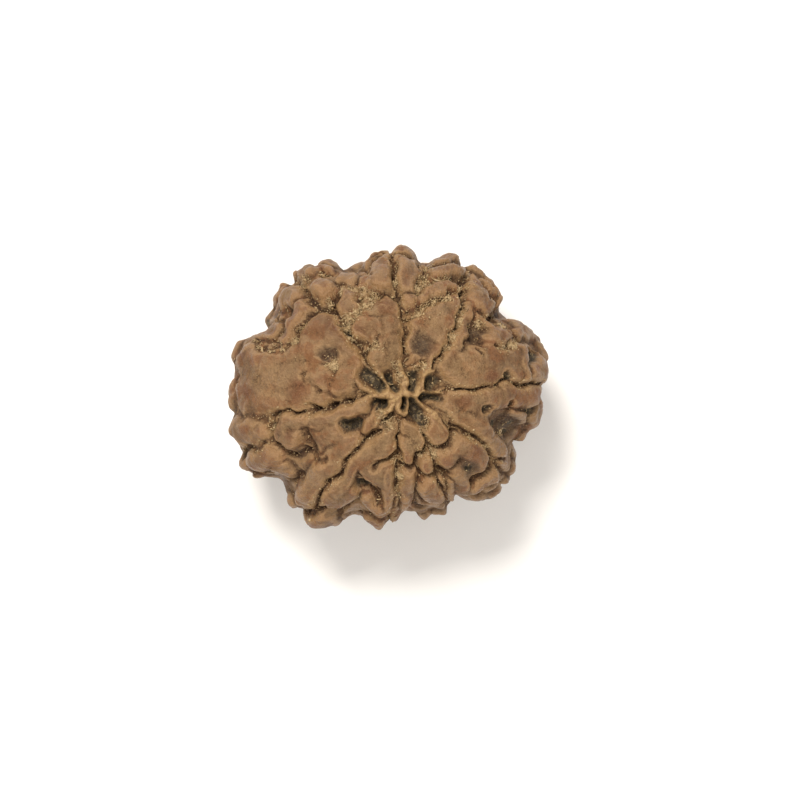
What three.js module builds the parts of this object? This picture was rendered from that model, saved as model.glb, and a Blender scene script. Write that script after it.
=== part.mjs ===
// A nine-faced rudraksha: the woody stone of the fruit, lying on its lower pole.
// Nine grooves run from a star at the upper pole, over the rim and down to a star at the lower pole.
// Between them the surface stands up in plates, knobs and ridges, and sinks in pits and crevices.
// Millimetres, +Z up. Places on the upper side are [x, y] as seen from straight above, from the middle
// of the outline.
import * as THREE from "three";
import { mergeVertices } from "three/addons/utils/BufferGeometryUtils.js";

// Driving dimensions
const LENGTH_X = 28.0; // across the longest lobes
const WIDTH_Y = 25.0;
const HEIGHT_Z = 20.6; // from the flat spots below to the highest plate
const HALF_X = 0.486 * LENGTH_X; // the plain body that the relief stands on
const HALF_Y = 0.476 * WIDTH_Y;
const HALF_Z = 0.498 * HEIGHT_Z;
const ROUNDNESS = 2.25; // exponent of the body's section: 2 is an ellipse, more is fuller at the shoulders
const WORN = 0.65; // height of the lowest knobs that is flattened, so that the stone rests on them
const RELIEF_ROOM = 0.55; // the plain body stays this far inside the outline
const LONGEST_STEP = 1.2; // of a route over the body
const MESH_DETAIL = 22; // the sphere's edges are cut into this many pieces and one more
const CROWDING = 0.66; // size of the triangles at the upper star, as a part of the even size
const PATCH = 0.26; // half-width of the patch of surface that a point of an even mesh stands for
const PULL = { share: 0.85, reach: 0.45 }; // how strongly grooves draw the mesh's points to their middle

// The outline seen from above, with a point on each lobe and in each notch
const OUTLINE = [
  [13.6, -0.3], [13.95, 0.5], [14.1, 2.0], [13.8, 3.4], [12.6, 5.1], [11.5, 5.85], [10.5, 6.0],
  [9.85, 6.5], [10.1, 8.0], [9.4, 9.1], [8.2, 10.3], [7.0, 10.9], [6.1, 11.4], [5.3, 11.7],
  [4.5, 11.45], [3.4, 10.85], [2.6, 11.4], [1.9, 12.3], [1.3, 12.5], [0.2, 12.0], [-0.9, 11.85],
  [-2.0, 11.1], [-3.55, 10.3], [-4.5, 10.95], [-5.2, 11.1], [-6.2, 10.7], [-7.2, 10.75], [-8.2, 10.0],
  [-8.3, 9.2], [-9.1, 9.0], [-10.0, 8.0], [-10.05, 7.3], [-10.6, 6.4], [-10.75, 4.75], [-11.8, 4.65],
  [-13.0, 4.0], [-13.7, 2.7], [-13.45, 1.1], [-14.0, -0.3], [-13.95, -1.5], [-13.6, -2.5],
  [-13.95, -3.4], [-13.3, -5.0], [-12.85, -5.8], [-12.8, -7.0], [-12.1, -7.7], [-10.8, -8.1],
  [-9.5, -7.9], [-9.1, -8.7], [-8.6, -10.3], [-7.4, -11.1], [-6.8, -12.3], [-5.5, -12.4],
  [-4.2, -12.1], [-3.0, -11.2], [-1.8, -11.8], [-0.8, -12.5], [0.2, -12.1], [1.0, -11.5],
  [1.55, -10.7], [2.6, -11.3], [3.3, -11.6], [4.0, -11.2], [5.2, -11.1], [5.7, -10.2], [5.95, -9.35],
  [7.0, -10.0], [8.2, -10.1], [9.5, -9.6], [10.5, -8.6], [11.25, -7.1], [11.3, -5.7], [10.95, -5.1],
  [12.2, -4.2], [13.2, -3.3], [13.7, -2.0], [13.6, -1.0],
];

// The two poles, where the nine grooves meet
const UPPER_POLE = [1.6, -0.8];
const LOWER_POLE = [-1.5, 0.9];

// The nine grooves on the upper side, each from its rib in the star out to the rim
const GROOVES = [
  [[2.4, -0.7], [3.3, -0.55], [4.4, -0.48], [5.2, -0.42], [6.4, -0.2], [7.6, -0.08], [8.9, 0.15],
    [9.6, 0.5], [10.4, 0.38], [11.6, 0.25], [12.6, 0.2], [13.4, -0.25]],
  [[2.3, -0.95], [3.3, -1.45], [4.3, -2.1], [5.1, -2.65], [5.8, -3.3], [6.5, -3.8], [7.6, -4.4],
    [8.3, -4.95], [8.8, -5.6], [9.2, -6.4], [9.6, -7.1], [9.8, -8.0], [10.0, -9.1]],
  [[1.95, -1.2], [2.05, -2.0], [2.3, -3.0], [2.8, -3.8], [3.2, -4.6], [3.5, -5.3], [3.9, -6.1],
    [4.05, -6.8], [4.3, -7.6], [4.8, -8.5], [4.95, -9.6], [5.9, -9.5]],
  [[1.2, -1.2], [0.95, -2.0], [0.95, -3.2], [0.95, -4.2], [0.9, -5.0], [0.85, -5.8], [0.8, -6.6],
    [0.85, -7.4], [0.85, -8.1], [0.65, -9.1], [0.5, -10.0], [0.4, -11.0], [0.2, -11.8]],
  [[0.8, -1.2], [0.6, -1.9], [0.35, -2.7], [-0.6, -3.7], [-1.4, -4.5], [-2.7, -5.3], [-3.4, -6.2],
    [-4.1, -7.4], [-4.9, -8.3], [-5.7, -9.2], [-6.2, -10.3], [-7.2, -11.0]],
  [[0.6, -0.9], [-0.6, -0.85], [-2.0, -0.9], [-2.9, -1.05], [-4.2, -1.55], [-5.1, -1.7], [-5.9, -1.95],
    [-7.3, -2.1], [-9.0, -2.05], [-10.0, -2.5], [-9.75, -3.4], [-9.7, -4.4], [-10.6, -5.0],
    [-12.0, -5.05], [-13.0, -5.1]],
  [[0.7, -0.7], [0.1, -0.4], [-0.4, 0.3], [-1.0, 1.1], [-1.6, 2.0], [-2.0, 2.9], [-2.6, 3.6],
    [-3.2, 4.4], [-3.6, 5.3], [-4.3, 6.3], [-5.5, 6.8], [-6.3, 7.4], [-7.1, 8.5], [-8.3, 9.2]],
  [[1.7, -0.2], [1.65, 0.7], [1.4, 1.7], [1.3, 2.5], [1.45, 3.6], [1.5, 4.9], [1.5, 5.8], [1.3, 6.5],
    [1.0, 7.4], [0.7, 8.2], [0.75, 9.3], [0.5, 10.1], [0.2, 11.0], [0.0, 11.9]],
  [[2.4, -0.4], [3.0, 0.2], [3.5, 1.0], [4.0, 1.8], [4.6, 2.7], [5.0, 3.5], [5.4, 4.3], [5.9, 5.3],
    [6.15, 6.2], [6.15, 7.2], [6.5, 8.1], [6.8, 9.1], [6.95, 10.0], [6.7, 10.8]],
];
const GROOVE = { width: 0.26, depth: 1.15, from: 2.2, full: 4.0 }; // how far from the star it opens
const AT_RIM = { share: 0.3, band: 1.6 }; // cuts keep this share of their depth where the outline is seen
// Places where a groove is filled up: x, y and radius
const FILLED = [[-7.5, 8.8, 1.0], [0.4, -11.0, 1.0], [-10.9, -5.1, 1.2], [4.9, -9.3, 0.8], [1.4, 2.6, 0.4]];
const BELOW_RIM_STEPS = [0.14, 0.28, 0.42, 0.56, 0.7, 0.83]; // of the way from the rim to the lower pole
const BELOW_RIM_SWAY = 0.75; // how far a groove wanders from the straight way down
const BULGE = { base: -0.45, height: 0.5, reach: 1.6, lip: 0.35, lipReach: 0.55, star: 0.6 }; // of a face
const DIMPLE = { depth: 0.85, reach: 3.4 }; // the dip in which the upper star lies

// The ribs of the upper star, between its pockets
const RIBS = [
  { r: 0.47, path: [[1.2, -0.9], [0.2, -0.7], [-0.9, -0.6], [-1.6, -0.45], [-2.1, -0.1], [-2.4, 0.5]] },
  { r: 0.44, path: [[0.9, -0.9], [-0.5, -0.85], [-1.6, -0.95], [-2.55, -1.3], [-3.5, -1.8]] },
  { r: 0.55, path: [[1.0, -0.85], [0.2, -0.5], [-0.2, 0.1], [-0.7, 1.0], [-1.1, 1.5], [-1.8, 2.2]] },
  { r: 0.52, path: [[1.6, -0.8], [1.7, -0.2], [1.6, 0.5], [1.4, 1.4], [1.1, 2.3]] },
  { r: 0.62, path: [[2.0, -0.75], [2.8, -0.2], [3.3, 0.4], [3.65, 1.2], [3.85, 1.9]] },
  { r: 0.31, path: [[1.7, -0.8], [2.4, -0.75], [3.0, -0.52], [4.0, -0.44], [4.8, -0.4]] },
  { r: 0.47, path: [[2.1, -0.9], [2.7, -1.05], [3.2, -1.6], [3.85, -2.3], [4.4, -3.0]] },
  { r: 0.34, path: [[1.9, -0.9], [2.0, -1.5], [1.85, -2.1], [1.5, -2.4], [1.2, -2.3]] },
  { r: 0.34, path: [[1.3, -0.95], [1.0, -1.3], [0.95, -1.9], [1.2, -2.3]] },
  { r: 0.49, path: [[1.1, -1.0], [0.6, -1.3], [0.3, -1.9], [-0.4, -2.5], [-1.4, -3.5]] },
  { r: 0.65, path: [[1.0, -0.85], [1.6, -0.75], [2.2, -0.7]] },
];
const RIB = { h: 0.4, full: 3 }; // the height and fullness of all ribs

// Raised forms: half-width r, height h, and the points that each runs through. full is how flat its top
// is: 2 is a round bump, 4 a plate with rounded shoulders, and without it the form is between the two.
const RAISED = [
  // right of the upper right groove
  { r: 1.7, h: 0.5, full: 4, path: [[6.6, 1.4], [8.8, 1.8], [10.4, 2.1]] },
  { r: 0.6, h: 0.3, path: [[8.0, 0.85], [9.3, 0.95]] },
  { r: 0.6, h: 0.75, path: [[11.5, 0.9], [11.3, 2.0], [11.5, 3.2], [11.0, 3.5]] },
  { r: 1.3, h: 0.45, path: [[13.0, 1.6]] },
  { r: 0.9, h: 0.4, path: [[13.2, 3.3]] },
  { r: 0.8, h: 0.45, path: [[12.9, 0.6], [12.0, 1.0]] },
  { r: 1.3, h: 0.6, path: [[11.3, 5.2], [12.3, 4.8]] },
  { r: 0.45, h: 0.35, path: [[11.2, 4.6], [12.7, 4.3]] },
  { r: 0.95, h: 0.5, path: [[9.2, 4.2], [10.1, 4.4]] },
  { r: 0.4, h: 0.45, path: [[7.7, 6.0], [8.2, 5.5], [8.7, 4.9]] },
  { r: 0.42, h: 0.4, path: [[4.9, 1.9], [5.6, 3.0], [6.3, 4.4], [6.8, 5.6], [7.0, 6.8]] },
  { r: 0.6, h: 0.8, path: [[7.3, 9.2], [7.6, 8.2]] },
  { r: 0.9, h: 0.9, path: [[7.8, 7.9], [7.8, 7.0]] },
  { r: 0.6, h: 0.6, path: [[8.3, 6.5], [8.9, 6.6]] },
  { r: 0.35, h: 0.65, path: [[8.2, 9.0], [8.6, 8.2], [9.1, 7.8]] },
  { r: 0.55, h: 0.7, path: [[9.4, 7.0]] },
  { r: 0.8, h: 0.55, path: [[8.2, 9.9], [9.1, 9.1]] },
  { r: 0.6, h: 0.6, path: [[9.7, 8.4]] },
  { r: 0.7, h: 0.5, path: [[7.5, 10.2]] },
  // between the upper right groove and the top groove
  { r: 1.3, h: 0.5, full: 4, path: [[3.2, 3.5], [3.7, 4.5], [4.1, 5.3], [4.3, 5.8]] },
  { r: 0.6, h: 0.6, path: [[3.5, 1.3], [4.1, 2.6], [4.6, 4.0], [5.2, 5.3], [5.6, 6.6], [5.8, 7.5]] },
  { r: 0.45, h: 0.5, path: [[2.0, 3.2], [2.1, 4.5], [2.5, 5.5]] },
  { r: 0.5, h: 0.3, path: [[2.7, 5.7], [4.0, 6.4], [5.2, 6.9]] },
  { r: 0.5, h: 0.55, path: [[2.3, 2.4]] },
  { r: 0.38, h: 0.5, path: [[2.4, 1.6]] },
  { r: 0.85, h: 0.8, full: 2, path: [[1.95, 7.05]] },
  { r: 0.72, h: 0.6, path: [[2.3, 7.3], [3.1, 7.85], [4.2, 8.25], [5.6, 8.35]] },
  { r: 0.6, h: 0.6, path: [[3.6, 9.5], [5.0, 9.55], [6.2, 9.75]] },
  { r: 1.0, h: 0.6, path: [[4.3, 10.5], [5.4, 10.9]] },
  { r: 0.3, h: 0.5, path: [[2.2, 10.2], [2.15, 9.6], [2.5, 9.2], [2.9, 9.4], [2.9, 9.9]] },
  { r: 0.78, h: 0.75, full: 4, path: [[1.5, 8.5], [1.5, 9.4], [1.45, 10.3]] },
  { r: 1.1, h: 0.7, path: [[0.7, 11.0], [1.6, 11.4]] },
  // between the top groove and the upper left groove
  { r: 1.55, h: 0.65, full: 4, path: [[-0.3, 6.0], [-0.3, 4.8]] },
  { r: 1.1, h: 0.6, full: 4, path: [[-1.9, 4.9], [-1.2, 4.9]] },
  { r: 0.6, h: 0.35, path: [[0.7, 6.7], [0.8, 5.6], [0.8, 4.3]] },
  { r: 0.5, h: 0.4, path: [[-2.5, 5.3], [-2.3, 4.6]] },
  { r: 0.8, h: 0.5, path: [[-0.3, 7.0]] },
  { r: 1.0, h: 0.6, path: [[-0.8, 2.3], [0.3, 2.8]] },
  { r: 0.7, h: 0.4, path: [[0.4, 3.8]] },
  { r: 0.95, h: 0.8, path: [[-3.2, 7.3], [-3.3, 6.6]] },
  { r: 0.9, h: 0.75, path: [[-1.6, 8.9], [-0.5, 8.9]] },
  { r: 0.78, h: 0.7, full: 4, path: [[-0.5, 8.7], [-0.55, 10.3]] },
  { r: 0.85, h: 0.6, path: [[-3.3, 9.0]] },
  { r: 0.55, h: 0.5, path: [[-1.8, 10.3], [-1.1, 11.0], [-0.4, 11.2]] },
  { r: 0.9, h: 0.35, path: [[-2.5, 10.3]] },
  // between the upper left groove and the left groove
  { r: 1.75, h: 0.7, full: 3, path: [[-5.5, 4.5], [-5.8, 3.6]] },
  { r: 0.9, h: 0.4, path: [[-4.6, 5.1]] },
  { r: 0.9, h: 0.45, path: [[-4.0, 3.4], [-3.0, 2.4]] },
  { r: 1.8, h: 0.45, full: 4, path: [[-11.7, 2.4], [-9.5, 1.6], [-7.6, 1.6]] },
  { r: 1.6, h: 0.45, full: 4, path: [[-12.0, -0.5], [-9.8, -0.5]] },
  { r: 1.2, h: 0.45, path: [[-7.9, -0.7], [-6.2, -0.9]] },
  { r: 1.05, h: 0.6, path: [[-5.6, 0.6]] },
  { r: 0.8, h: 0.35, path: [[-4.0, 0.1], [-3.3, 1.1]] },
  { r: 1.0, h: 0.4, path: [[-12.9, 3.2]] },
  { r: 0.9, h: 0.35, path: [[-13.3, -0.2]] },
  { r: 0.8, h: 0.3, path: [[-13.3, -1.4]] },
  { r: 1.2, h: 1.3, full: 2, path: [[-5.55, 8.1]] },
  { r: 0.45, h: 0.5, path: [[-6.4, 9.6], [-5.6, 10.0], [-4.9, 9.9]] },
  { r: 0.9, h: 0.4, path: [[-7.0, 9.8]] },
  { r: 0.9, h: 0.4, path: [[-5.0, 10.4]] },
  { r: 0.5, h: 0.3, path: [[-8.0, 9.5]] },
  { r: 1.1, h: 0.5, full: 3, path: [[-9.6, 8.0]] },
  { r: 1.05, h: 0.7, full: 3, path: [[-8.5, 7.6], [-8.0, 7.7]] },
  { r: 0.6, h: 0.3, path: [[-10.4, 6.8], [-10.5, 5.9]] },
  { r: 0.75, h: 0.85, path: [[-6.8, 7.0], [-7.3, 6.2], [-7.8, 5.2], [-8.4, 4.2]] },
  { r: 0.85, h: 0.6, full: 3, path: [[-10.4, 4.2], [-9.3, 4.8]] },
  // between the left groove and the lower left groove
  { r: 0.75, h: 0.5, path: [[-2.2, -1.6], [-4.0, -2.3], [-6.0, -2.8], [-8.2, -2.8]] },
  { r: 1.25, h: 0.75, path: [[-8.2, -4.0]] },
  { r: 1.0, h: 0.55, path: [[-5.4, -4.3], [-4.6, -3.9]] },
  { r: 0.55, h: 0.45, path: [[-0.7, -2.5], [-1.8, -3.5]] },
  { r: 1.0, h: 0.6, path: [[-3.2, -4.9], [-4.9, -6.6], [-6.2, -8.3], [-6.9, -9.4]] },
  { r: 1.4, h: 0.7, full: 3, path: [[-12.2, -3.8], [-11.2, -3.8]] },
  { r: 1.15, h: 0.7, path: [[-11.2, -6.3], [-10.0, -6.0]] },
  { r: 1.0, h: 0.5, path: [[-8.8, -6.9]] },
  { r: 0.8, h: 0.3, path: [[-12.1, -6.6]] },
  { r: 0.5, h: 0.4, path: [[-10.8, -7.6]] },
  { r: 0.7, h: 0.4, path: [[-8.0, -9.6]] },
  // between the lower left groove and the bottom groove
  { r: 0.8, h: 0.6, full: 4, path: [[0.0, -3.9], [-0.3, -4.7], [-1.2, -5.4], [0.1, -5.2]] },
  { r: 0.75, h: 0.6, full: 4, path: [[-2.2, -5.9], [-2.9, -6.8], [-4.0, -8.3], [-4.8, -9.5]] },
  { r: 0.85, h: 0.5, full: 5, path: [[-1.3, -6.95], [-0.2, -7.1], [-0.4, -7.7], [-1.0, -7.5]] },
  { r: 0.62, h: 0.85, full: 4, path: [[0.15, -7.3], [0.2, -8.4], [0.15, -10.0]] },
  { r: 0.5, h: 0.5, path: [[-1.8, -9.3], [-1.2, -10.1], [-0.3, -10.3]] },
  { r: 0.8, h: 0.4, path: [[-3.2, -9.1], [-4.4, -9.9]] },
  { r: 0.55, h: 0.6, path: [[-1.7, -10.9], [-0.7, -11.5]] },
  { r: 0.55, h: 0.5, path: [[-0.7, -12.0]] },
  { r: 1.3, h: 0.6, path: [[-6.1, -11.4], [-4.9, -11.5]] },
  { r: 0.8, h: 0.2, path: [[0.9, -10.9]] },
  // between the bottom groove and the lower right one
  { r: 0.85, h: 0.7, full: 5, path: [[1.6, -4.0], [2.4, -4.2], [1.9, -5.6]] },
  { r: 0.68, h: 0.8, full: 5, path: [[3.2, -6.3], [3.45, -6.75]] },
  { r: 0.62, h: 0.7, full: 4, path: [[1.9, -7.3], [1.7, -8.6], [1.55, -9.9]] },
  { r: 0.85, h: 0.95, full: 6, path: [[3.4, -8.3], [4.2, -8.4], [4.25, -9.1], [3.5, -9.1]] },
  { r: 0.36, h: 0.6, path: [[5.25, -7.9], [5.3, -9.5]] },
  { r: 0.75, h: 0.5, path: [[4.5, -10.7]] },
  { r: 0.7, h: 0.35, path: [[3.2, -11.0]] },
  // between the lower right groove and the one right of it
  { r: 0.8, h: 0.6, full: 5, path: [[3.9, -4.5], [4.1, -3.9], [4.9, -4.0], [4.4, -4.6]] },
  { r: 1.05, h: 0.65, full: 4, path: [[5.0, -5.9], [5.9, -5.3], [7.1, -5.3], [7.7, -6.2], [6.4, -7.1]] },
  { r: 0.75, h: 0.45, full: 4, path: [[6.2, -7.9], [6.1, -8.7]] },
  { r: 0.8, h: 0.6, path: [[9.0, -7.5], [8.3, -8.0], [7.4, -8.6]] },
  { r: 1.1, h: 0.55, path: [[7.9, -9.3], [9.0, -8.9]] },
  // between that one and the right groove
  { r: 0.95, h: 0.5, full: 3, path: [[5.8, -1.2], [8.0, -1.1], [10.5, -0.8], [12.4, -0.8]] },
  { r: 0.8, h: 0.55, path: [[5.0, -1.9], [6.4, -2.8], [7.9, -3.5], [8.8, -4.5], [9.7, -5.4]] },
  { r: 1.0, h: 0.35, path: [[8.0, -2.6]] },
  { r: 0.65, h: 0.5, path: [[9.9, -6.4]] },
  { r: 0.5, h: 0.55, path: [[11.1, -5.7]] },
  { r: 0.45, h: 0.55, path: [[11.0, -7.0]] },
  { r: 0.6, h: 0.35, path: [[10.2, -8.2]] },
  { r: 1.1, h: 0.5, path: [[12.6, -1.6], [12.6, -3.0]] },
  { r: 0.35, h: 0.45, path: [[10.8, -2.3], [11.7, -2.5], [11.8, -3.0]] },
  { r: 0.4, h: 0.35, path: [[11.9, -3.7], [11.2, -4.3]] },
];

// Crevices: half-width w, depth d, and the points that each runs through
const CREVICES = [
  { w: 0.27, d: 1.25, path: [[-3.0, -1.15], [-4.2, -1.6], [-5.1, -1.8], [-6.3, -1.95]] },
  { w: 0.3, d: 0.8, path: [[1.7, 5.8], [2.6, 6.1], [3.3, 6.7], [4.2, 7.1], [5.1, 7.5], [5.9, 8.1]] },
  { w: 0.25, d: 0.6, path: [[3.1, 8.6], [4.0, 8.85], [5.0, 8.95], [6.0, 8.9], [6.6, 9.1]] },
  { w: 0.25, d: 0.5, path: [[3.1, 10.3], [3.7, 10.05], [5.4, 10.15], [6.2, 10.4], [6.9, 10.4]] },
  { w: 0.3, d: 0.7, path: [[2.5, 7.9], [3.1, 8.6], [3.1, 9.4], [3.0, 10.2], [3.4, 10.9]] },
  { w: 0.14, d: 0.4, path: [[0.2, 10.8], [0.9, 11.0], [1.6, 10.9], [2.3, 10.4]] },
  { w: 0.12, d: 0.35, path: [[0.2, 11.4], [0.8, 11.6], [1.5, 11.5], [2.1, 11.0]] },
  { w: 0.12, d: 0.35, path: [[-1.5, 10.5], [-1.0, 11.0], [-0.3, 11.2], [0.2, 10.9]] },
  { w: 0.35, d: 0.8, path: [[-2.4, 7.0], [-2.1, 7.7], [-1.0, 7.8], [0.0, 7.95], [0.8, 7.6]] },
  { w: 0.5, d: 0.45, path: [[-3.6, 5.9], [-2.5, 6.4], [-1.7, 6.9], [-1.0, 7.5]] },
  { w: 0.25, d: 0.75, path: [[-2.2, 2.9], [-1.7, 3.0], [-1.2, 3.4], [-0.7, 3.8]] },
  { w: 0.18, d: 0.35, path: [[-3.5, 10.3], [-2.6, 10.15], [-1.6, 9.8], [-1.4, 9.2]] },
  { w: 0.25, d: 0.7, path: [[-4.3, 8.5], [-3.9, 8.2], [-3.0, 8.2], [-2.3, 8.2]] },
  { w: 0.4, d: 1.0, path: [[-6.7, 7.8], [-6.3, 7.3], [-5.6, 6.8], [-4.7, 6.8], [-4.3, 7.6]] },
  { w: 0.24, d: 0.75, path: [[-5.9, 6.4], [-6.5, 5.9], [-7.0, 5.3], [-7.4, 4.6], [-7.9, 3.8], [-8.3, 3.1]] },
  { w: 0.3, d: 0.65, path: [[-8.1, 3.0], [-9.0, 3.05], [-9.8, 3.2], [-10.7, 3.4], [-11.3, 4.0]] },
  { w: 0.22, d: 0.45, path: [[-8.4, 5.2], [-8.6, 4.5], [-9.2, 4.1], [-9.8, 3.7]] },
  { w: 0.3, d: 0.5, path: [[-11.2, 4.8], [-10.4, 5.1], [-9.6, 5.5], [-8.9, 5.9]] },
  { w: 0.4, d: 0.85, path: [[-9.6, -4.8], [-8.9, -5.3], [-8.3, -5.8], [-7.5, -6.0], [-6.9, -5.7]] },
  { w: 0.35, d: 0.6, path: [[-6.8, -4.2], [-6.6, -5.0], [-6.4, -5.8], [-5.8, -6.2], [-5.2, -6.0]] },
  { w: 0.3, d: 0.6, path: [[-8.4, -7.7], [-7.9, -7.9], [-7.4, -7.4]] },
  { w: 0.3, d: 0.7, path: [[-9.4, -7.8], [-8.8, -8.1], [-8.6, -9.2], [-8.9, -10.2]] },
  { w: 0.25, d: 0.75, path: [[-1.2, -6.5], [-0.5, -6.2], [0.3, -6.05], [0.8, -5.7]] },
  { w: 0.2, d: 0.65, path: [[-1.5, -8.7], [-1.1, -9.2], [-0.8, -9.8]] },
  { w: 0.35, d: 0.75, path: [[-4.0, -10.7], [-3.0, -9.9], [-2.1, -9.85], [-0.9, -10.8], [0.4, -10.7]] },
  { w: 0.3, d: 0.6, path: [[-7.0, -10.5], [-6.2, -10.7], [-5.0, -10.6], [-4.2, -10.7], [-3.3, -11.1]] },
  { w: 0.3, d: 0.75, path: [[1.0, -6.7], [1.8, -6.85], [2.4, -6.5], [2.6, -5.8], [3.2, -5.5]] },
  { w: 0.22, d: 0.6, path: [[2.6, -7.0], [2.9, -7.5], [3.5, -7.6], [4.1, -7.4]] },
  { w: 0.3, d: 0.65, path: [[2.3, -8.9], [2.8, -9.6], [3.4, -10.05], [4.4, -10.1], [5.5, -10.2]] },
  { w: 0.35, d: 0.5, path: [[2.3, -7.2], [2.4, -8.2], [2.2, -9.0], [2.2, -10.2]] },
  { w: 0.28, d: 0.75, path: [[3.9, -5.4], [4.7, -5.15], [5.4, -4.6], [5.8, -4.0]] },
  { w: 0.3, d: 0.8, path: [[4.3, -6.9], [4.8, -7.3], [5.3, -7.2]] },
  { w: 0.25, d: 0.65, path: [[9.0, -6.8], [8.2, -7.5], [7.7, -7.8], [7.2, -8.3]] },
  { w: 0.4, d: 0.4, path: [[7.4, -9.0], [8.2, -9.0], [9.2, -8.6]] },
  { w: 0.2, d: 0.5, path: [[9.4, -6.0], [10.2, -6.0]] },
  { w: 0.25, d: 0.55, path: [[9.5, -7.0], [10.0, -7.2], [10.5, -7.7]] },
  { w: 0.3, d: 0.7, path: [[9.5, 3.3], [10.3, 3.4], [10.9, 3.75], [11.1, 4.1]] },
  { w: 0.35, d: 0.8, path: [[7.9, 6.2], [8.3, 5.8], [8.9, 5.8], [9.4, 6.2], [9.9, 6.5]] },
  { w: 0.2, d: 0.4, path: [[9.2, 5.8], [9.6, 5.3], [9.9, 4.8], [10.6, 4.4]] },
  { w: 0.18, d: 0.4, path: [[7.6, 3.0], [8.1, 2.5]] },
  { w: 0.22, d: 0.4, path: [[11.95, 3.5], [12.05, 2.4], [11.95, 1.2]] },
  { w: 0.15, d: 0.35, path: [[-6.7, 1.2], [-6.8, 0.6], [-6.4, 0.0], [-5.5, -0.4]] },
  { w: 0.15, d: 0.4, path: [[-12.65, 1.0], [-12.4, 0.3]] },
];

// Hollows: half-width r, depth d, and the points between which each is stretched. The first ten are in the
// pockets of the upper star. soft ones have sloping sides.
const HOLLOWS = [
  { r: 0.4, d: 0.9, path: [[3.5, -0.95], [4.5, -1.05]] },
  { r: 0.5, d: 0.9, path: [[2.45, -1.5], [2.7, -2.3]] },
  { r: 0.4, d: 0.7, path: [[2.9, -2.8], [3.1, -3.3]] },
  { r: 0.3, d: 0.9, path: [[1.47, -1.35], [1.42, -1.85]] },
  { r: 0.45, d: 0.5, path: [[0.35, -2.6], [0.0, -3.2]] },
  { r: 0.38, d: 0.9, path: [[-1.1, -1.5], [-0.05, -1.45], [-0.6, -1.9]] },
  { r: 0.5, d: 0.75, path: [[-2.0, 1.35], [-0.75, 0.0]] },
  { r: 0.42, d: 0.75, path: [[0.1, 0.7], [0.85, -0.35]] },
  { r: 0.42, d: 0.75, path: [[2.35, 1.0], [2.35, 0.1]] },
  { r: 0.5, d: 0.75, path: [[4.25, 0.6], [4.2, 0.35]] },
  { r: 0.55, d: 0.8, path: [[-3.5, -3.3], [-2.8, -3.45]] },
  { r: 0.6, d: 0.6, soft: true, path: [[-5.3, 2.6], [-4.8, 2.7]] },
  { r: 0.32, d: 0.9, path: [[-3.45, 4.7]] },
  { r: 0.3, d: 0.8, path: [[-3.8, 5.4]] },
  { r: 0.35, d: 0.6, path: [[-5.5, 9.4], [-5.1, 9.6]] },
  { r: 0.3, d: 0.7, path: [[-9.8, 6.8]] },
  { r: 0.25, d: 0.7, path: [[-9.4, 6.6]] },
  { r: 0.25, d: 0.7, path: [[-9.9, 6.3]] },
  { r: 0.3, d: 0.8, path: [[-9.5, 6.0]] },
  { r: 0.42, d: 0.9, path: [[-8.45, 6.4]] },
  { r: 0.35, d: 0.6, path: [[-10.2, 5.5]] },
  { r: 0.35, d: 0.7, path: [[-9.2, 5.7]] },
  { r: 0.35, d: 0.8, path: [[8.3, -1.98], [8.7, -1.85]] },
  { r: 0.25, d: 0.6, path: [[10.4, -1.3], [10.6, -1.15]] },
  { r: 0.5, d: 0.7, path: [[12.2, -2.0], [12.1, -2.4]] },
  { r: 1.15, d: 0.75, soft: true, path: [[10.0, -3.3], [11.0, -3.8]] },
  { r: 0.4, d: 0.75, path: [[9.6, -3.2]] },
  { r: 0.35, d: 0.9, path: [[10.4, -3.9], [10.7, -4.0]] },
  { r: 0.3, d: 0.8, path: [[11.1, -3.3]] },
  { r: 0.5, d: 0.95, path: [[12.2, 2.4], [12.6, 2.9]] },
  { r: 1.0, d: 0.5, soft: true, path: [[7.4, 4.9], [7.5, 4.3]] },
  { r: 1.0, d: 0.45, soft: true, path: [[2.9, 3.3], [3.0, 4.0]] },
  { r: 0.3, d: 0.9, path: [[9.9, 0.95], [10.3, 0.7]] },
  { r: 0.4, d: 0.7, path: [[6.8, -6.9]] },
  { r: 0.9, d: 0.5, soft: true, path: [[6.0, -6.4], [7.0, -6.9]] },
  { r: 0.45, d: 0.95, path: [[-2.4, -8.4], [-1.6, -8.3]] },
  { r: 0.55, d: 0.45, path: [[2.6, -10.5], [2.9, -10.6]] },
  { r: 0.35, d: 0.6, path: [[-2.3, -10.6]] },
  { r: 0.4, d: 0.35, path: [[9.2, 7.9]] },
  { r: 0.32, d: 0.8, path: [[8.75, 7.35]] },
  { r: 0.3, d: 0.7, path: [[9.3, 6.3]] },
  { r: 0.3, d: 0.45, path: [[-12.2, -5.4], [-12.2, -5.8]] },
  { r: 0.4, d: 0.5, path: [[-10.6, -7.4], [-10.1, -7.4]] },
  { r: 0.3, d: 0.6, path: [[-10.0, -3.3]] },
  { r: 0.3, d: 0.5, path: [[-13.2, -2.7]] },
];

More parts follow.
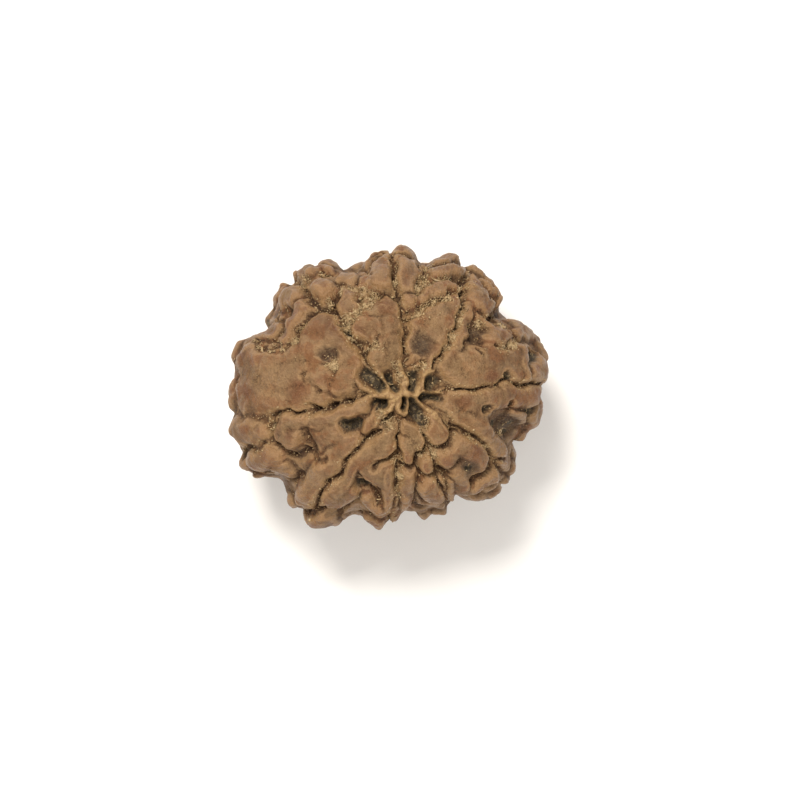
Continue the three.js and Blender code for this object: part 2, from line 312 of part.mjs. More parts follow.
// The knobs that cover the flanks and the underside, as cells on an even spiral over the body
const CELLS = {
  count: 380,
  jitter: 0.45, // of the space between two
  stretch: [1.0, 1.8],
  crease: 0.5, // half-width of the crease between two
  height: [0.35, 1.15],
  sink: 0.55, // of the creases, under the plain body
  pitShare: 0.06,
  pit: { r: 0.5, d: 1.0 },
  fullBelow: -3.5, // they reach their full height under this level
  fadeAbove: 0.6, // and are faint over this one
  faint: 0.1,
};
const LOWER_STAR = { from: 1.1, to: 2.4, r: 0.4, d: 1.2, stepsBack: 5 };
const SWAY = { pitch: 2.6, size: 0.2 }; // how far forms wander from their stated places
const SWELL = { pitch: 3.4, size: 0.12 };
const BLEND = 0.09; // how softly raised forms run together
const OUT_OF_REACH = 1.6; // in half-widths of a form: it adds nothing from here on
const WIDER = 1.06; // all raised forms, against their stated half-widths
const PLATEAU = { step: 0.45, soft: 0.16, dome: 0.5 }; // a form has a steep side and a flatter top
const FULL = 2.6; // of a form that doesn't say how flat its top is

const UP = new THREE.Vector3(0, 0, 1);
const TURN = 2 * Math.PI;

const mix = (a, b, t) => a + (b - a) * t;
const smooth = (t) => t * t * (3 - 2 * t);
const clamp = (t) => Math.min(Math.max(t, 0), 1);
const bell = (t) => Math.exp(-t * t);

// A repeatable draw from 0 to 1 for a place in a row and a use of it
function draw(row, use) {
  const value = Math.sin((row + 1) * 12.9898 + use * 78.233) * 43758.5453;
  return value - Math.floor(value);
}

// The outline's radius at an azimuth: straight between its points, then rounded over a few degrees
const OUTLINE_TURNS = OUTLINE.map(([x, y]) => [Math.atan2(y, x), Math.hypot(x, y)]);
OUTLINE_TURNS.sort((a, b) => a[0] - b[0]);
const ROUNDING = [-0.04, -0.02, 0, 0.02, 0.04];
function straightRadius(azimuth) {
  const turn = azimuth < OUTLINE_TURNS[0][0] ? azimuth + TURN : azimuth;
  const after = OUTLINE_TURNS.findIndex(([angle]) => angle > turn);
  const last = OUTLINE_TURNS[OUTLINE_TURNS.length - 1];
  const from = after < 0 ? last : OUTLINE_TURNS[after - 1];
  const to = after < 0 ? [OUTLINE_TURNS[0][0] + TURN, OUTLINE_TURNS[0][1]] : OUTLINE_TURNS[after];
  return mix(from[1], to[1], (turn - from[0]) / (to[0] - from[0]));
}
function outlineRadius(azimuth) {
  return ROUNDING.reduce((sum, step) => sum + straightRadius(azimuth + step), 0) / ROUNDING.length;
}

// A ring of values at even azimuths, read between them
function ringOf(steps, value) {
  const values = Array.from({ length: steps }, (_, i) => value((i / steps) * TURN - Math.PI));
  return (azimuth) => {
    const place = ((azimuth + Math.PI) / TURN) * steps;
    const i = Math.floor(place);
    return mix(values[(i + steps) % steps], values[(i + 1) % steps], place - i);
  };
}
const rim = ringOf(360, outlineRadius);

// The plain body's point in a direction: oval towards the poles, lobed at the rim
function bodyPoint(direction) {
  const { x, y, z } = direction;
  const across = Math.hypot(x, y);
  const azimuth = Math.atan2(y, x);
  const oval = 1 / Math.hypot(Math.cos(azimuth) / HALF_X, Math.sin(azimuth) / HALF_Y);
  const reach = mix(oval, rim(azimuth) - RELIEF_ROOM, across ** 3);
  const inverse = Math.pow(across / reach, ROUNDNESS) + Math.pow(Math.abs(z) / HALF_Z, ROUNDNESS);
  return direction.clone().multiplyScalar(Math.pow(inverse, -1 / ROUNDNESS));
}
const onBody = (point) => bodyPoint(point.clone().normalize());
const heading = (azimuth, polar) =>
  new THREE.Vector3(Math.cos(azimuth), Math.sin(azimuth), 0)
    .multiplyScalar(Math.sin(polar))
    .setZ(Math.cos(polar));

// The plain body's point above a place on the plan, or below it when side is -1
function lift([x, y], side = 1) {
  const azimuth = Math.atan2(y, x);
  let [low, high] = [0, Math.PI / 2];
  for (let i = 0; i < 30; i++) {
    const polar = (low + high) / 2;
    const point = bodyPoint(heading(azimuth, polar));
    if (Math.hypot(point.x, point.y) < Math.hypot(x, y)) low = polar;
    else high = polar;
  }
  const found = heading(azimuth, low);
  found.z *= side;
  return bodyPoint(found);
}

// A route with points close enough together to keep to the curved body
function follow(points) {
  const route = [points[0]];
  for (let i = 1; i < points.length; i++) {
    const [from, to] = [points[i - 1], points[i]];
    const steps = Math.ceil(from.distanceTo(to) / LONGEST_STEP);
    for (let k = 1; k <= steps; k++) route.push(onBody(from.clone().lerp(to, k / steps)));
  }
  return route;
}

// The point of a route that is nearest to a point
function nearestOn(route, point) {
  let nearest = route[0];
  let best = point.distanceToSquared(nearest);
  for (let i = 1; i < route.length; i++) {
    const along = route[i].clone().sub(route[i - 1]);
    const t = clamp(point.clone().sub(route[i - 1]).dot(along) / along.lengthSq());
    const place = along.multiplyScalar(t).add(route[i - 1]);
    const away = point.distanceToSquared(place);
    if (away < best) [nearest, best] = [place, away];
  }
  return nearest;
}
const distanceTo = (route, point) => point.distanceTo(nearestOn(route, point));

const upperPole = lift(UPPER_POLE);
const lowerPole = lift(LOWER_POLE, -1);

// A groove's way down from the rim to the lower pole
function wayDown(place, number) {
  const start = lift(place);
  const side = start.clone().cross(lowerPole).normalize();
  const points = BELOW_RIM_STEPS.map((share, step) => {
    const sway = BELOW_RIM_SWAY * (2 * draw(number, step) - 1) * Math.sin(Math.PI * share);
    return onBody(start.clone().lerp(lowerPole, share).addScaledVector(side, sway));
  });
  return follow([start, ...points, lowerPole]);
}

const groovesAbove = GROOVES.map((places) => follow(places.map((place) => lift(place))));
const groovesBelow = GROOVES.map((places, number) => wayDown(places[places.length - 1], number));
const grooves = [...groovesAbove, ...groovesBelow];
const onFace = (form) => ({ ...form, route: follow(form.path.map((place) => lift(place))) });
const raised = [...RAISED, ...RIBS.map((rib) => ({ ...RIB, ...rib }))].map(onFace);
const crevices = CREVICES.map(onFace);
const filled = FILLED.map(([x, y, r]) => ({ middle: lift([x, y]), r }));

// The pockets round the lower pole, one between each two grooves
const shoulder = (i) => groovesBelow[i][groovesBelow[i].length - LOWER_STAR.stepsBack];
const lowerPockets = groovesBelow.map((groove, i) => {
  const next = groovesBelow[(i + 1) % groovesBelow.length];
  const between = nearestOn(groove, shoulder(i)).clone().add(nearestOn(next, shoulder(i)));
  const away = between.divideScalar(2).sub(lowerPole).normalize();
  const places = [LOWER_STAR.from, LOWER_STAR.to].map((far) => far * mix(0.85, 1.15, draw(i, 20)));
  const route = places.map((far) => onBody(lowerPole.clone().addScaledVector(away, far)));
  return { ...LOWER_STAR, route };
});
const hollows = [...HOLLOWS.map(onFace), ...lowerPockets];

const GOLDEN = Math.PI * (3 - Math.sqrt(5));
const CELL_SPACE = Math.sqrt((4 * Math.PI * HALF_X * HALF_Z) / CELLS.count);
const cells = Array.from({ length: CELLS.count }, (_, i) => {
  const middle = bodyPoint(heading(i * GOLDEN, Math.acos(1 - (2 * (i + 0.5)) / CELLS.count)));
  const spread = new THREE.Vector3(draw(i, 1) - 0.5, draw(i, 2) - 0.5, draw(i, 3) - 0.5);
  const along = new THREE.Vector3(draw(i, 4) - 0.5, draw(i, 5) - 0.5, draw(i, 6) - 0.5);
  return {
    middle: onBody(middle.addScaledVector(spread, 2 * CELLS.jitter * CELL_SPACE)),
    along: along.cross(middle).normalize(),
    squeeze: 1 - mix(...CELLS.stretch, draw(i, 7)) ** -2,
    height: mix(...CELLS.height, draw(i, 8)),
    isPit: draw(i, 9) < CELLS.pitShare,
  };
});

// Height of the cells: domes of their own heights with creases between them
function cellHeight(point) {
  let nearest;
  let [first, second] = [Infinity, Infinity];
  for (const cell of cells) {
    const away = point.clone().sub(cell.middle);
    const distance = Math.sqrt(away.lengthSq() - cell.squeeze * away.dot(cell.along) ** 2);
    if (distance < first) [nearest, first, second] = [cell, distance, first];
    else if (distance < second) second = distance;
  }
  const crease = bell((second - first) / CELLS.crease);
  const pit = nearest.isPit ? CELLS.pit.d * bell(first / CELLS.pit.r) : 0;
  const dome = nearest.height * (1 - 0.3 * (first / CELL_SPACE) ** 2);
  return (1 - crease) * dome - CELLS.sink - pit;
}

// A slow wave over the body, from -1 to 1, that keeps the forms from being too regular
function wave({ x, y, z }, pitch, phase) {
  const k = TURN / pitch;
  return (
    Math.sin(k * (0.9 * x + 0.4 * y) + phase + Math.sin(0.7 * k * z + 2 * phase)) *
    Math.sin(k * (0.8 * y - 0.5 * z) + 2.1 * phase + Math.sin(0.6 * k * x + phase))
  );
}

// Height of the relief over a point of the plain body, before cuts and with them
function relief(point) {
  const swayed = new THREE.Vector3(...[0.3, 1.7, 3.1].map((phase) => wave(point, SWAY.pitch, phase)));
  swayed.multiplyScalar(SWAY.size).add(point);
  const near = Math.min(...grooves.map((route) => distanceTo(route, swayed)));
  const fromPole = point.distanceTo(upperPole);
  const open = smooth(clamp((fromPole - GROOVE.from) / (GROOVE.full - GROOVE.from)));
  const down = smooth(clamp((CELLS.fadeAbove - point.z) / (CELLS.fadeAbove - CELLS.fullBelow)));

  let height = BULGE.base + BULGE.height * mix(BULGE.star, 1 - bell(near / BULGE.reach), open);
  const cutShare = mix(1, AT_RIM.share, bell(point.z / AT_RIM.band));
  height += BULGE.lip * (1 - bell(near / BULGE.lipReach) * cutShare) * open;
  height += SWELL.size * wave(point, SWELL.pitch, 5.2);
  height += mix(CELLS.faint, 1, down) * cellHeight(swayed);
  height -= DIMPLE.depth * bell(fromPole / DIMPLE.reach);

  let sum = 1;
  for (const form of raised) {
    const away = distanceTo(form.route, swayed) / (form.r * WIDER);
    if (away < OUT_OF_REACH) sum += Math.exp((form.h * (1 - away ** (form.full ?? FULL))) / BLEND);
  }
  const rise = BLEND * Math.log(sum);
  height += PLATEAU.step * (1 - Math.exp(-rise / PLATEAU.soft)) + PLATEAU.dome * rise;

  let cut = open * GROOVE.depth * bell(near / GROOVE.width);
  for (const { middle, r } of filled) cut *= 1 - bell(point.distanceTo(middle) / r);
  for (const form of crevices) cut = Math.max(cut, form.d * bell(distanceTo(form.route, swayed) / form.w));
  for (const form of hollows) {
    const away = distanceTo(form.route, swayed) / form.r;
    cut = Math.max(cut, form.d * (form.soft ? bell(away) : 1 - smooth(clamp(away - 0.45))));
  }
  return { uncut: height, height: height - cut * cutShare };
}

// How far the relief has to be let out or taken in at the rim for its furthest point to lie on the outline
const RIM_BAND = Array.from({ length: 9 }, (_, i) => Math.PI * (0.38 + 0.03 * i));
const trim = ringOf(120, (azimuth) => {
  const reached = RIM_BAND.map((polar) => {
    const body = bodyPoint(heading(azimuth, polar));
    return (body.length() + relief(body).uncut) * Math.sin(polar);
  });
  return outlineRadius(azimuth) - Math.max(...reached);
});

// The mesh is crowded towards the upper star, by a map that keeps its triangles' shape
const starward = upperPole.clone().normalize();
function crowd(direction) {
  const axis = starward.clone().cross(direction).normalize();
  const turned = 2 * Math.atan(CROWDING * Math.tan(direction.angleTo(starward) / 2));
  return starward.clone().applyAxisAngle(axis, turned);
}
function crowdedPatch(point) {
  const half = Math.cos(point.angleTo(starward) / 2) ** 2;
  return (PATCH * (CROWDING ** 2 * half + 1 - half)) / CROWDING;
}

// Mesh points near a groove or a crevice are drawn to its middle, so that it runs clean
const lines = [...grooves.map((route) => ({ route, w: GROOVE.width })), ...crevices];
function drawn(point) {
  const places = lines.map(({ route }) => nearestOn(route, point));
  places.sort((a, b) => a.distanceToSquared(point) - b.distanceToSquared(point));
  return onBody(point.clone().lerp(places[0], PULL.share * bell(point.distanceTo(places[0]) / PULL.reach)));
}

// The mean relief over the patch of body that one mesh point stands for
function meanRelief(body, patch) {
  const side = body.clone().cross(UP).normalize();
  const other = body.clone().cross(side).normalize();
  const ring = Array.from({ length: 6 }, (_, i) => (i / 6) * TURN);
  const around = ring.map((turn) =>
    onBody(
      body
        .clone()
        .addScaledVector(side, patch * Math.cos(turn))
        .addScaledVector(other, patch * Math.sin(turn)),
    ),
  );
  return [body, ...around].reduce((sum, place) => sum + relief(place).height, 0) / 7;
}

function stone() {
  const sphere = new THREE.IcosahedronGeometry(1, MESH_DETAIL);
  sphere.deleteAttribute("normal");
  sphere.deleteAttribute("uv");
  const geometry = mergeVertices(sphere, 1e-5);
  const places = geometry.attributes.position;
  const direction = new THREE.Vector3();
  for (let i = 0; i < places.count; i++) {
    direction.fromBufferAttribute(places, i).normalize();
    const body = drawn(bodyPoint(crowd(direction)));
    const across = Math.hypot(body.x, body.y) / body.length();
    const out = meanRelief(body, crowdedPatch(body)) + trim(Math.atan2(body.y, body.x)) * across ** 4;
    const point = body.setLength(body.length() + out);
    places.setXYZ(i, point.x, point.y, point.z);
  }
  geometry.computeBoundingBox();
  const resting = geometry.boundingBox.min.z + WORN;
  for (let i = 0; i < places.count; i++) places.setZ(i, Math.max(places.getZ(i), resting));
  geometry.computeBoundingBox();
  const middle = geometry.boundingBox.getCenter(new THREE.Vector3());
  geometry.translate(-middle.x, -middle.y, -geometry.boundingBox.min.z);
  geometry.computeVertexNormals();
  return geometry;
}

const WOOD = new THREE.MeshStandardMaterial({ color: 0x9b7b5c, roughness: 0.72, metalness: 0 });
const rudraksha = new THREE.Group();
const seedStone = new THREE.Mesh(stone(), WOOD);
seedStone.name = "rudraksha_stone";
rudraksha.add(seedStone);

export default rudraksha;
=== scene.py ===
"""A nine-faced rudraksha stone on a pale floor, seen from straight above.

The stone replaces its faceted solid with the same forms at full fineness. Places on its upper side are
(x, y) in millimetres as seen from above, from the middle of the outline. They are lifted onto a plain
oval body, and the relief moves the body's points in and out along their directions.
"""
import itertools
import math

import bpy
import numpy as np
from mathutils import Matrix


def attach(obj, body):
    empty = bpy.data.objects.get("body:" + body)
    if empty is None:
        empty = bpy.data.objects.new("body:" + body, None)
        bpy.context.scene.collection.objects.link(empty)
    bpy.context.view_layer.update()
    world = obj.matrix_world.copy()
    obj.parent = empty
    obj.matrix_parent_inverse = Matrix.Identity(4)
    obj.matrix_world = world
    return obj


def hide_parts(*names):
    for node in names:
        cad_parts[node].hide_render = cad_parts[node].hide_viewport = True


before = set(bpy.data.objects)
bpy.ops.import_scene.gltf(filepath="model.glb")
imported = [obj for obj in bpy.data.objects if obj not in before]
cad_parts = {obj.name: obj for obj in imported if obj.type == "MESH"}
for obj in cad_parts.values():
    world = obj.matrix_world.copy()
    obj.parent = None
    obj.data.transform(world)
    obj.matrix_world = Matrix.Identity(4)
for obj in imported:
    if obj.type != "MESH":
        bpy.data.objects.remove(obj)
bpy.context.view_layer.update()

# Driving dimensions, in millimetres, the same as the solid's
MM = 0.001
LENGTH_X = 28.0
WIDTH_Y = 25.0
HEIGHT_Z = 20.6
RESTING_LEVEL = -9.7

# The plain body: half sizes, the power of its curve (2 is an ellipsoid), and the room for relief at its rim
HALF = np.array([0.486 * LENGTH_X, 0.476 * WIDTH_Y, 0.498 * HEIGHT_Z])
ROUNDNESS = 2.25
RELIEF_ROOM = 0.55

# The outline from above, anticlockwise from the right
OUTLINE = [
    (13.6, -0.3), (13.95, 0.5), (14.1, 2.0), (13.8, 3.4), (12.6, 5.1), (11.5, 5.85), (10.5, 6.0),
    (9.85, 6.5), (10.1, 8.0), (9.4, 9.1), (8.2, 10.3), (7.0, 10.9), (6.1, 11.4), (5.3, 11.7),
    (4.5, 11.45), (3.4, 10.85), (2.6, 11.4), (1.9, 12.3), (1.3, 12.5), (0.2, 12.0), (-0.9, 11.85),
    (-2.0, 11.1), (-3.55, 10.3), (-4.5, 10.95), (-5.2, 11.1), (-6.2, 10.7), (-7.2, 10.75), (-8.2, 10.0),
    (-8.3, 9.2), (-9.1, 9.0), (-10.0, 8.0), (-10.05, 7.3), (-10.6, 6.4), (-10.75, 4.75), (-11.8, 4.65),
    (-13.0, 4.0), (-13.7, 2.7), (-13.45, 1.1), (-14.0, -0.3), (-13.95, -1.5), (-13.6, -2.5),
    (-13.95, -3.4), (-13.3, -5.0), (-12.85, -5.8), (-12.8, -7.0), (-12.1, -7.7), (-10.8, -8.1),
    (-9.5, -7.9), (-9.1, -8.7), (-8.6, -10.3), (-7.4, -11.1), (-6.8, -12.3), (-5.5, -12.4),
    (-4.2, -12.1), (-3.0, -11.2), (-1.8, -11.8), (-0.8, -12.5), (0.2, -12.1), (1.0, -11.5),
    (1.55, -10.7), (2.6, -11.3), (3.3, -11.6), (4.0, -11.2), (5.2, -11.1), (5.7, -10.2), (5.95, -9.35),
    (7.0, -10.0), (8.2, -10.1), (9.5, -9.6), (10.5, -8.6), (11.25, -7.1), (11.3, -5.7), (10.95, -5.1),
    (12.2, -4.2), (13.2, -3.3), (13.7, -2.0), (13.6, -1.0),
]

# The nine grooves, each from the star to the rim
GROOVES = [
    [(2.4, -0.7), (3.3, -0.55), (4.4, -0.48), (5.2, -0.42), (6.4, -0.2), (7.6, -0.08), (8.9, 0.15),
     (9.6, 0.5), (10.4, 0.38), (11.6, 0.25), (12.6, 0.2), (13.4, -0.25)],
    [(2.3, -0.95), (3.3, -1.45), (4.3, -2.1), (5.1, -2.65), (5.8, -3.3), (6.5, -3.8), (7.6, -4.4),
     (8.3, -4.95), (8.8, -5.6), (9.2, -6.4), (9.6, -7.1), (9.8, -8.0), (10.0, -9.1)],
    [(1.95, -1.2), (2.05, -2.0), (2.3, -3.0), (2.8, -3.8), (3.2, -4.6), (3.5, -5.3), (3.9, -6.1),
     (4.05, -6.8), (4.3, -7.6), (4.8, -8.5), (4.95, -9.6), (5.9, -9.5)],
    [(1.2, -1.2), (0.95, -2.0), (0.95, -3.2), (0.95, -4.2), (0.9, -5.0), (0.85, -5.8), (0.8, -6.6),
     (0.85, -7.4), (0.85, -8.1), (0.65, -9.1), (0.5, -10.0), (0.4, -11.0), (0.2, -11.8)],
    [(0.8, -1.2), (0.6, -1.9), (0.35, -2.7), (-0.6, -3.7), (-1.4, -4.5), (-2.7, -5.3), (-3.4, -6.2),
     (-4.1, -7.4), (-4.9, -8.3), (-5.7, -9.2), (-6.2, -10.3), (-7.2, -11.0)],
    [(0.6, -0.9), (-0.6, -0.85), (-2.0, -0.9), (-2.9, -1.05), (-4.2, -1.55), (-5.1, -1.7), (-5.9, -1.95),
     (-7.3, -2.1), (-9.0, -2.05), (-10.0, -2.5), (-9.75, -3.4), (-9.7, -4.4), (-10.6, -5.0),
     (-12.0, -5.05), (-13.0, -5.1)],
    [(0.7, -0.7), (0.1, -0.4), (-0.4, 0.3), (-1.0, 1.1), (-1.6, 2.0), (-2.0, 2.9), (-2.6, 3.6),
     (-3.2, 4.4), (-3.6, 5.3), (-4.3, 6.3), (-5.5, 6.8), (-6.3, 7.4), (-7.1, 8.5), (-8.3, 9.2)],
    [(1.7, -0.2), (1.65, 0.7), (1.4, 1.7), (1.3, 2.5), (1.45, 3.6), (1.5, 4.9), (1.5, 5.8), (1.3, 6.5),
     (1.0, 7.4), (0.7, 8.2), (0.75, 9.3), (0.5, 10.1), (0.2, 11.0), (0.0, 11.9)],
    [(2.4, -0.4), (3.0, 0.2), (3.5, 1.0), (4.0, 1.8), (4.6, 2.7), (5.0, 3.5), (5.4, 4.3), (5.9, 5.3),
     (6.15, 6.2), (6.15, 7.2), (6.5, 8.1), (6.8, 9.1), (6.95, 10.0), (6.7, 10.8)],
]

# Raised forms: radius, height, places along the middle, and fullness where it isn't FULL
RAISED = [
    # right of the upper right groove
    (1.7, 0.5, [(6.6, 1.4), (8.8, 1.8), (10.4, 2.1)], 4),
    (0.6, 0.3, [(8.0, 0.85), (9.3, 0.95)]),
    (0.6, 0.75, [(11.5, 0.9), (11.3, 2.0), (11.5, 3.2), (11.0, 3.5)]),
    (1.3, 0.45, [(13.0, 1.6)]),
    (0.9, 0.4, [(13.2, 3.3)]),
    (0.8, 0.45, [(12.9, 0.6), (12.0, 1.0)]),
    (1.3, 0.6, [(11.3, 5.2), (12.3, 4.8)]),
    (0.45, 0.35, [(11.2, 4.6), (12.7, 4.3)]),
    (0.95, 0.5, [(9.2, 4.2), (10.1, 4.4)]),
    (0.4, 0.45, [(7.7, 6.0), (8.2, 5.5), (8.7, 4.9)]),
    (0.42, 0.4, [(4.9, 1.9), (5.6, 3.0), (6.3, 4.4), (6.8, 5.6), (7.0, 6.8)]),
    (0.6, 0.8, [(7.3, 9.2), (7.6, 8.2)]),
    (0.9, 0.9, [(7.8, 7.9), (7.8, 7.0)]),
    (0.6, 0.6, [(8.3, 6.5), (8.9, 6.6)]),
    (0.35, 0.65, [(8.2, 9.0), (8.6, 8.2), (9.1, 7.8)]),
    (0.55, 0.7, [(9.4, 7.0)]),
    (0.8, 0.55, [(8.2, 9.9), (9.1, 9.1)]),
    (0.6, 0.6, [(9.7, 8.4)]),
    (0.7, 0.5, [(7.5, 10.2)]),
    # between the upper right groove and the top groove
    (1.3, 0.5, [(3.2, 3.5), (3.7, 4.5), (4.1, 5.3), (4.3, 5.8)], 4),
    (0.6, 0.6, [(3.5, 1.3), (4.1, 2.6), (4.6, 4.0), (5.2, 5.3), (5.6, 6.6), (5.8, 7.5)]),
    (0.45, 0.5, [(2.0, 3.2), (2.1, 4.5), (2.5, 5.5)]),
    (0.5, 0.3, [(2.7, 5.7), (4.0, 6.4), (5.2, 6.9)]),
    (0.5, 0.55, [(2.3, 2.4)]),
    (0.38, 0.5, [(2.4, 1.6)]),
    (0.68, 0.85, [(1.85, 7.2)], 2),
    (0.68, 0.6, [(2.9, 7.5), (3.4, 7.9), (4.2, 8.25), (5.6, 8.35)]),
    (0.6, 0.6, [(3.6, 9.5), (5.0, 9.55), (6.2, 9.75)]),
    (1.0, 0.45, [(4.4, 10.5), (5.2, 10.7)], 2),
    (0.33, 0.7, [(2.2, 10.2), (2.15, 9.6), (2.5, 9.2), (2.9, 9.4), (2.9, 9.9)]),
    (0.85, 0.75, [(1.65, 8.5), (1.75, 9.4), (1.7, 10.2)], 4),
    (1.1, 0.7, [(0.7, 11.0), (1.6, 11.4)]),
    # between the top groove and the upper left groove
    (1.55, 0.65, [(-0.3, 6.0), (-0.3, 4.8)], 4),
    (1.1, 0.6, [(-1.9, 4.9), (-1.2, 4.9)], 4),
    (0.6, 0.35, [(0.7, 6.7), (0.8, 5.6), (0.8, 4.3)]),
    (0.5, 0.4, [(-2.5, 5.3), (-2.3, 4.6)]),
    (1.0, 0.6, [(-0.1, 6.9)], 2),
    (1.0, 0.6, [(-0.8, 2.3), (0.3, 2.8)]),
    (0.7, 0.4, [(0.4, 3.8)]),
    (0.95, 0.8, [(-3.2, 7.3), (-3.3, 6.6)]),
    (0.9, 0.75, [(-1.6, 8.9), (-0.5, 8.9)]),
    (0.78, 0.7, [(-0.5, 8.7), (-0.55, 10.3)], 4),
    (0.85, 0.6, [(-3.3, 9.0)]),
    (0.55, 0.5, [(-1.8, 10.3), (-1.1, 11.0), (-0.4, 11.2)]),
    (0.9, 0.35, [(-2.5, 10.3)]),
    # between the upper left groove and the left groove
    (1.75, 0.7, [(-5.5, 4.5), (-5.8, 3.6)], 3),
    (0.9, 0.4, [(-4.6, 5.1)]),
    (0.9, 0.45, [(-4.0, 3.4), (-3.0, 2.4)]),
    (1.8, 0.45, [(-11.7, 2.4), (-9.5, 1.6), (-7.6, 1.6)], 4),
    (1.6, 0.45, [(-12.0, -0.5), (-9.8, -0.5)], 4),
    (1.2, 0.45, [(-7.9, -0.7), (-6.2, -0.9)]),
    (1.05, 0.6, [(-5.6, 0.6)]),
    (0.8, 0.35, [(-4.0, 0.1), (-3.3, 1.1)]),
    (1.0, 0.4, [(-12.9, 3.2)]),
    (0.9, 0.35, [(-13.3, -0.2)]),
    (0.8, 0.3, [(-13.3, -1.4)]),
    (1.2, 1.3, [(-5.55, 8.1)], 2),
    (0.45, 0.5, [(-6.4, 9.6), (-5.6, 10.0), (-4.9, 9.9)]),
    (0.9, 0.4, [(-7.0, 9.8)]),
    (0.9, 0.4, [(-5.0, 10.4)]),
    (0.5, 0.3, [(-8.0, 9.5)]),
    (1.1, 0.5, [(-9.6, 8.0)], 3),
    (1.05, 0.7, [(-8.5, 7.6), (-8.0, 7.7)], 3),
    (0.6, 0.3, [(-10.4, 6.8), (-10.5, 5.9)]),
    (0.75, 0.85, [(-6.8, 7.0), (-7.3, 6.2), (-7.8, 5.2), (-8.4, 4.2)]),
    (0.85, 0.6, [(-10.4, 4.2), (-9.3, 4.8)], 3),
    # between the left groove and the lower left groove
    (0.75, 0.5, [(-2.2, -1.6), (-4.0, -2.3), (-6.0, -2.8), (-8.2, -2.8)]),
    (1.2, 0.6, [(-8.4, -4.1)]),
    (1.0, 0.4, [(-5.4, -4.3), (-4.6, -3.9)]),
    (0.55, 0.45, [(-0.7, -2.5), (-1.8, -3.5)]),
    (1.0, 0.6, [(-3.2, -4.9), (-4.9, -6.6), (-6.2, -8.3), (-6.9, -9.4)]),
    (1.4, 0.7, [(-12.2, -3.8), (-11.2, -3.8)], 3),
    (1.15, 0.7, [(-11.2, -6.3), (-10.0, -6.0)]),
    (1.0, 0.5, [(-8.8, -6.9)]),
    (0.8, 0.3, [(-12.1, -6.6)]),
    (0.5, 0.4, [(-10.8, -7.6)]),
    (0.7, 0.4, [(-8.0, -9.6)]),
    # between the lower left groove and the bottom groove
    (0.8, 0.6, [(0.0, -3.9), (-0.3, -4.7), (-1.2, -5.4), (0.1, -5.2)], 4),
    (0.75, 0.6, [(-2.2, -5.9), (-2.9, -6.8), (-4.0, -8.3), (-4.8, -9.5)], 4),
    (0.85, 0.5, [(-1.3, -6.95), (-0.2, -7.1), (-0.4, -7.7), (-1.0, -7.5)], 5),
    (0.62, 0.85, [(0.15, -7.3), (0.2, -8.4), (0.15, -10.0)], 4),
    (0.5, 0.5, [(-1.8, -9.3), (-1.2, -10.1), (-0.3, -10.3)]),
    (0.8, 0.4, [(-3.2, -9.1), (-4.4, -9.9)]),
    (0.55, 0.6, [(-1.7, -10.9), (-0.7, -11.5)]),
    (0.55, 0.5, [(-0.7, -12.0)]),
    (1.3, 0.6, [(-6.1, -11.4), (-4.9, -11.5)]),
    (0.8, 0.2, [(0.9, -10.9)]),
    # between the bottom groove and the lower right one
    (0.6, 0.6, [(1.6, -3.6), (2.3, -3.8), (2.5, -4.8), (1.9, -5.8), (1.6, -4.6)], 5),
    (0.68, 0.8, [(3.2, -6.3), (3.45, -6.75)], 5),
    (0.62, 0.7, [(1.9, -7.3), (1.7, -8.6), (1.55, -9.9)], 4),
    (0.85, 0.95, [(3.4, -8.3), (4.2, -8.4), (4.25, -9.1), (3.5, -9.1)], 6),
    (0.36, 0.6, [(5.25, -7.9), (5.3, -9.5)]),
    (0.75, 0.5, [(4.5, -10.7)]),
    (0.7, 0.35, [(3.2, -11.0)]),
    # between the lower right groove and the one right of it
    (0.6, 0.55, [(3.6, -2.9), (4.9, -4.0), (4.2, -4.6), (3.4, -3.9), (3.9, -3.6)], 5),
    (1.05, 0.65, [(5.0, -5.9), (5.9, -5.3), (7.1, -5.3), (7.7, -6.2), (6.4, -7.1)], 4),
    (0.75, 0.45, [(6.2, -7.9), (6.1, -8.7)], 4),
    (0.8, 0.6, [(9.0, -7.5), (8.3, -8.0), (7.4, -8.6)]),
    (1.1, 0.55, [(7.9, -9.3), (9.0, -8.9)]),
    # between that one and the right groove
    (0.95, 0.5, [(5.8, -1.2), (8.0, -1.1), (10.5, -0.8), (12.4, -0.8)], 3),
    (0.8, 0.55, [(5.0, -1.9), (6.4, -2.8), (7.9, -3.5), (8.8, -4.5), (9.7, -5.4)]),
    (1.0, 0.35, [(8.0, -2.6)]),
    (0.65, 0.5, [(9.9, -6.4)]),
    (0.75, 0.45, [(10.9, -5.7)]),
    (0.75, 0.45, [(10.8, -7.0)]),
    (0.6, 0.35, [(10.2, -8.2)]),
    (1.1, 0.5, [(12.6, -1.6), (12.6, -3.0)]),
    (0.35, 0.45, [(10.8, -2.3), (11.7, -2.5), (11.8, -3.0)]),
    (0.4, 0.35, [(11.9, -3.7), (11.2, -4.3)]),
]

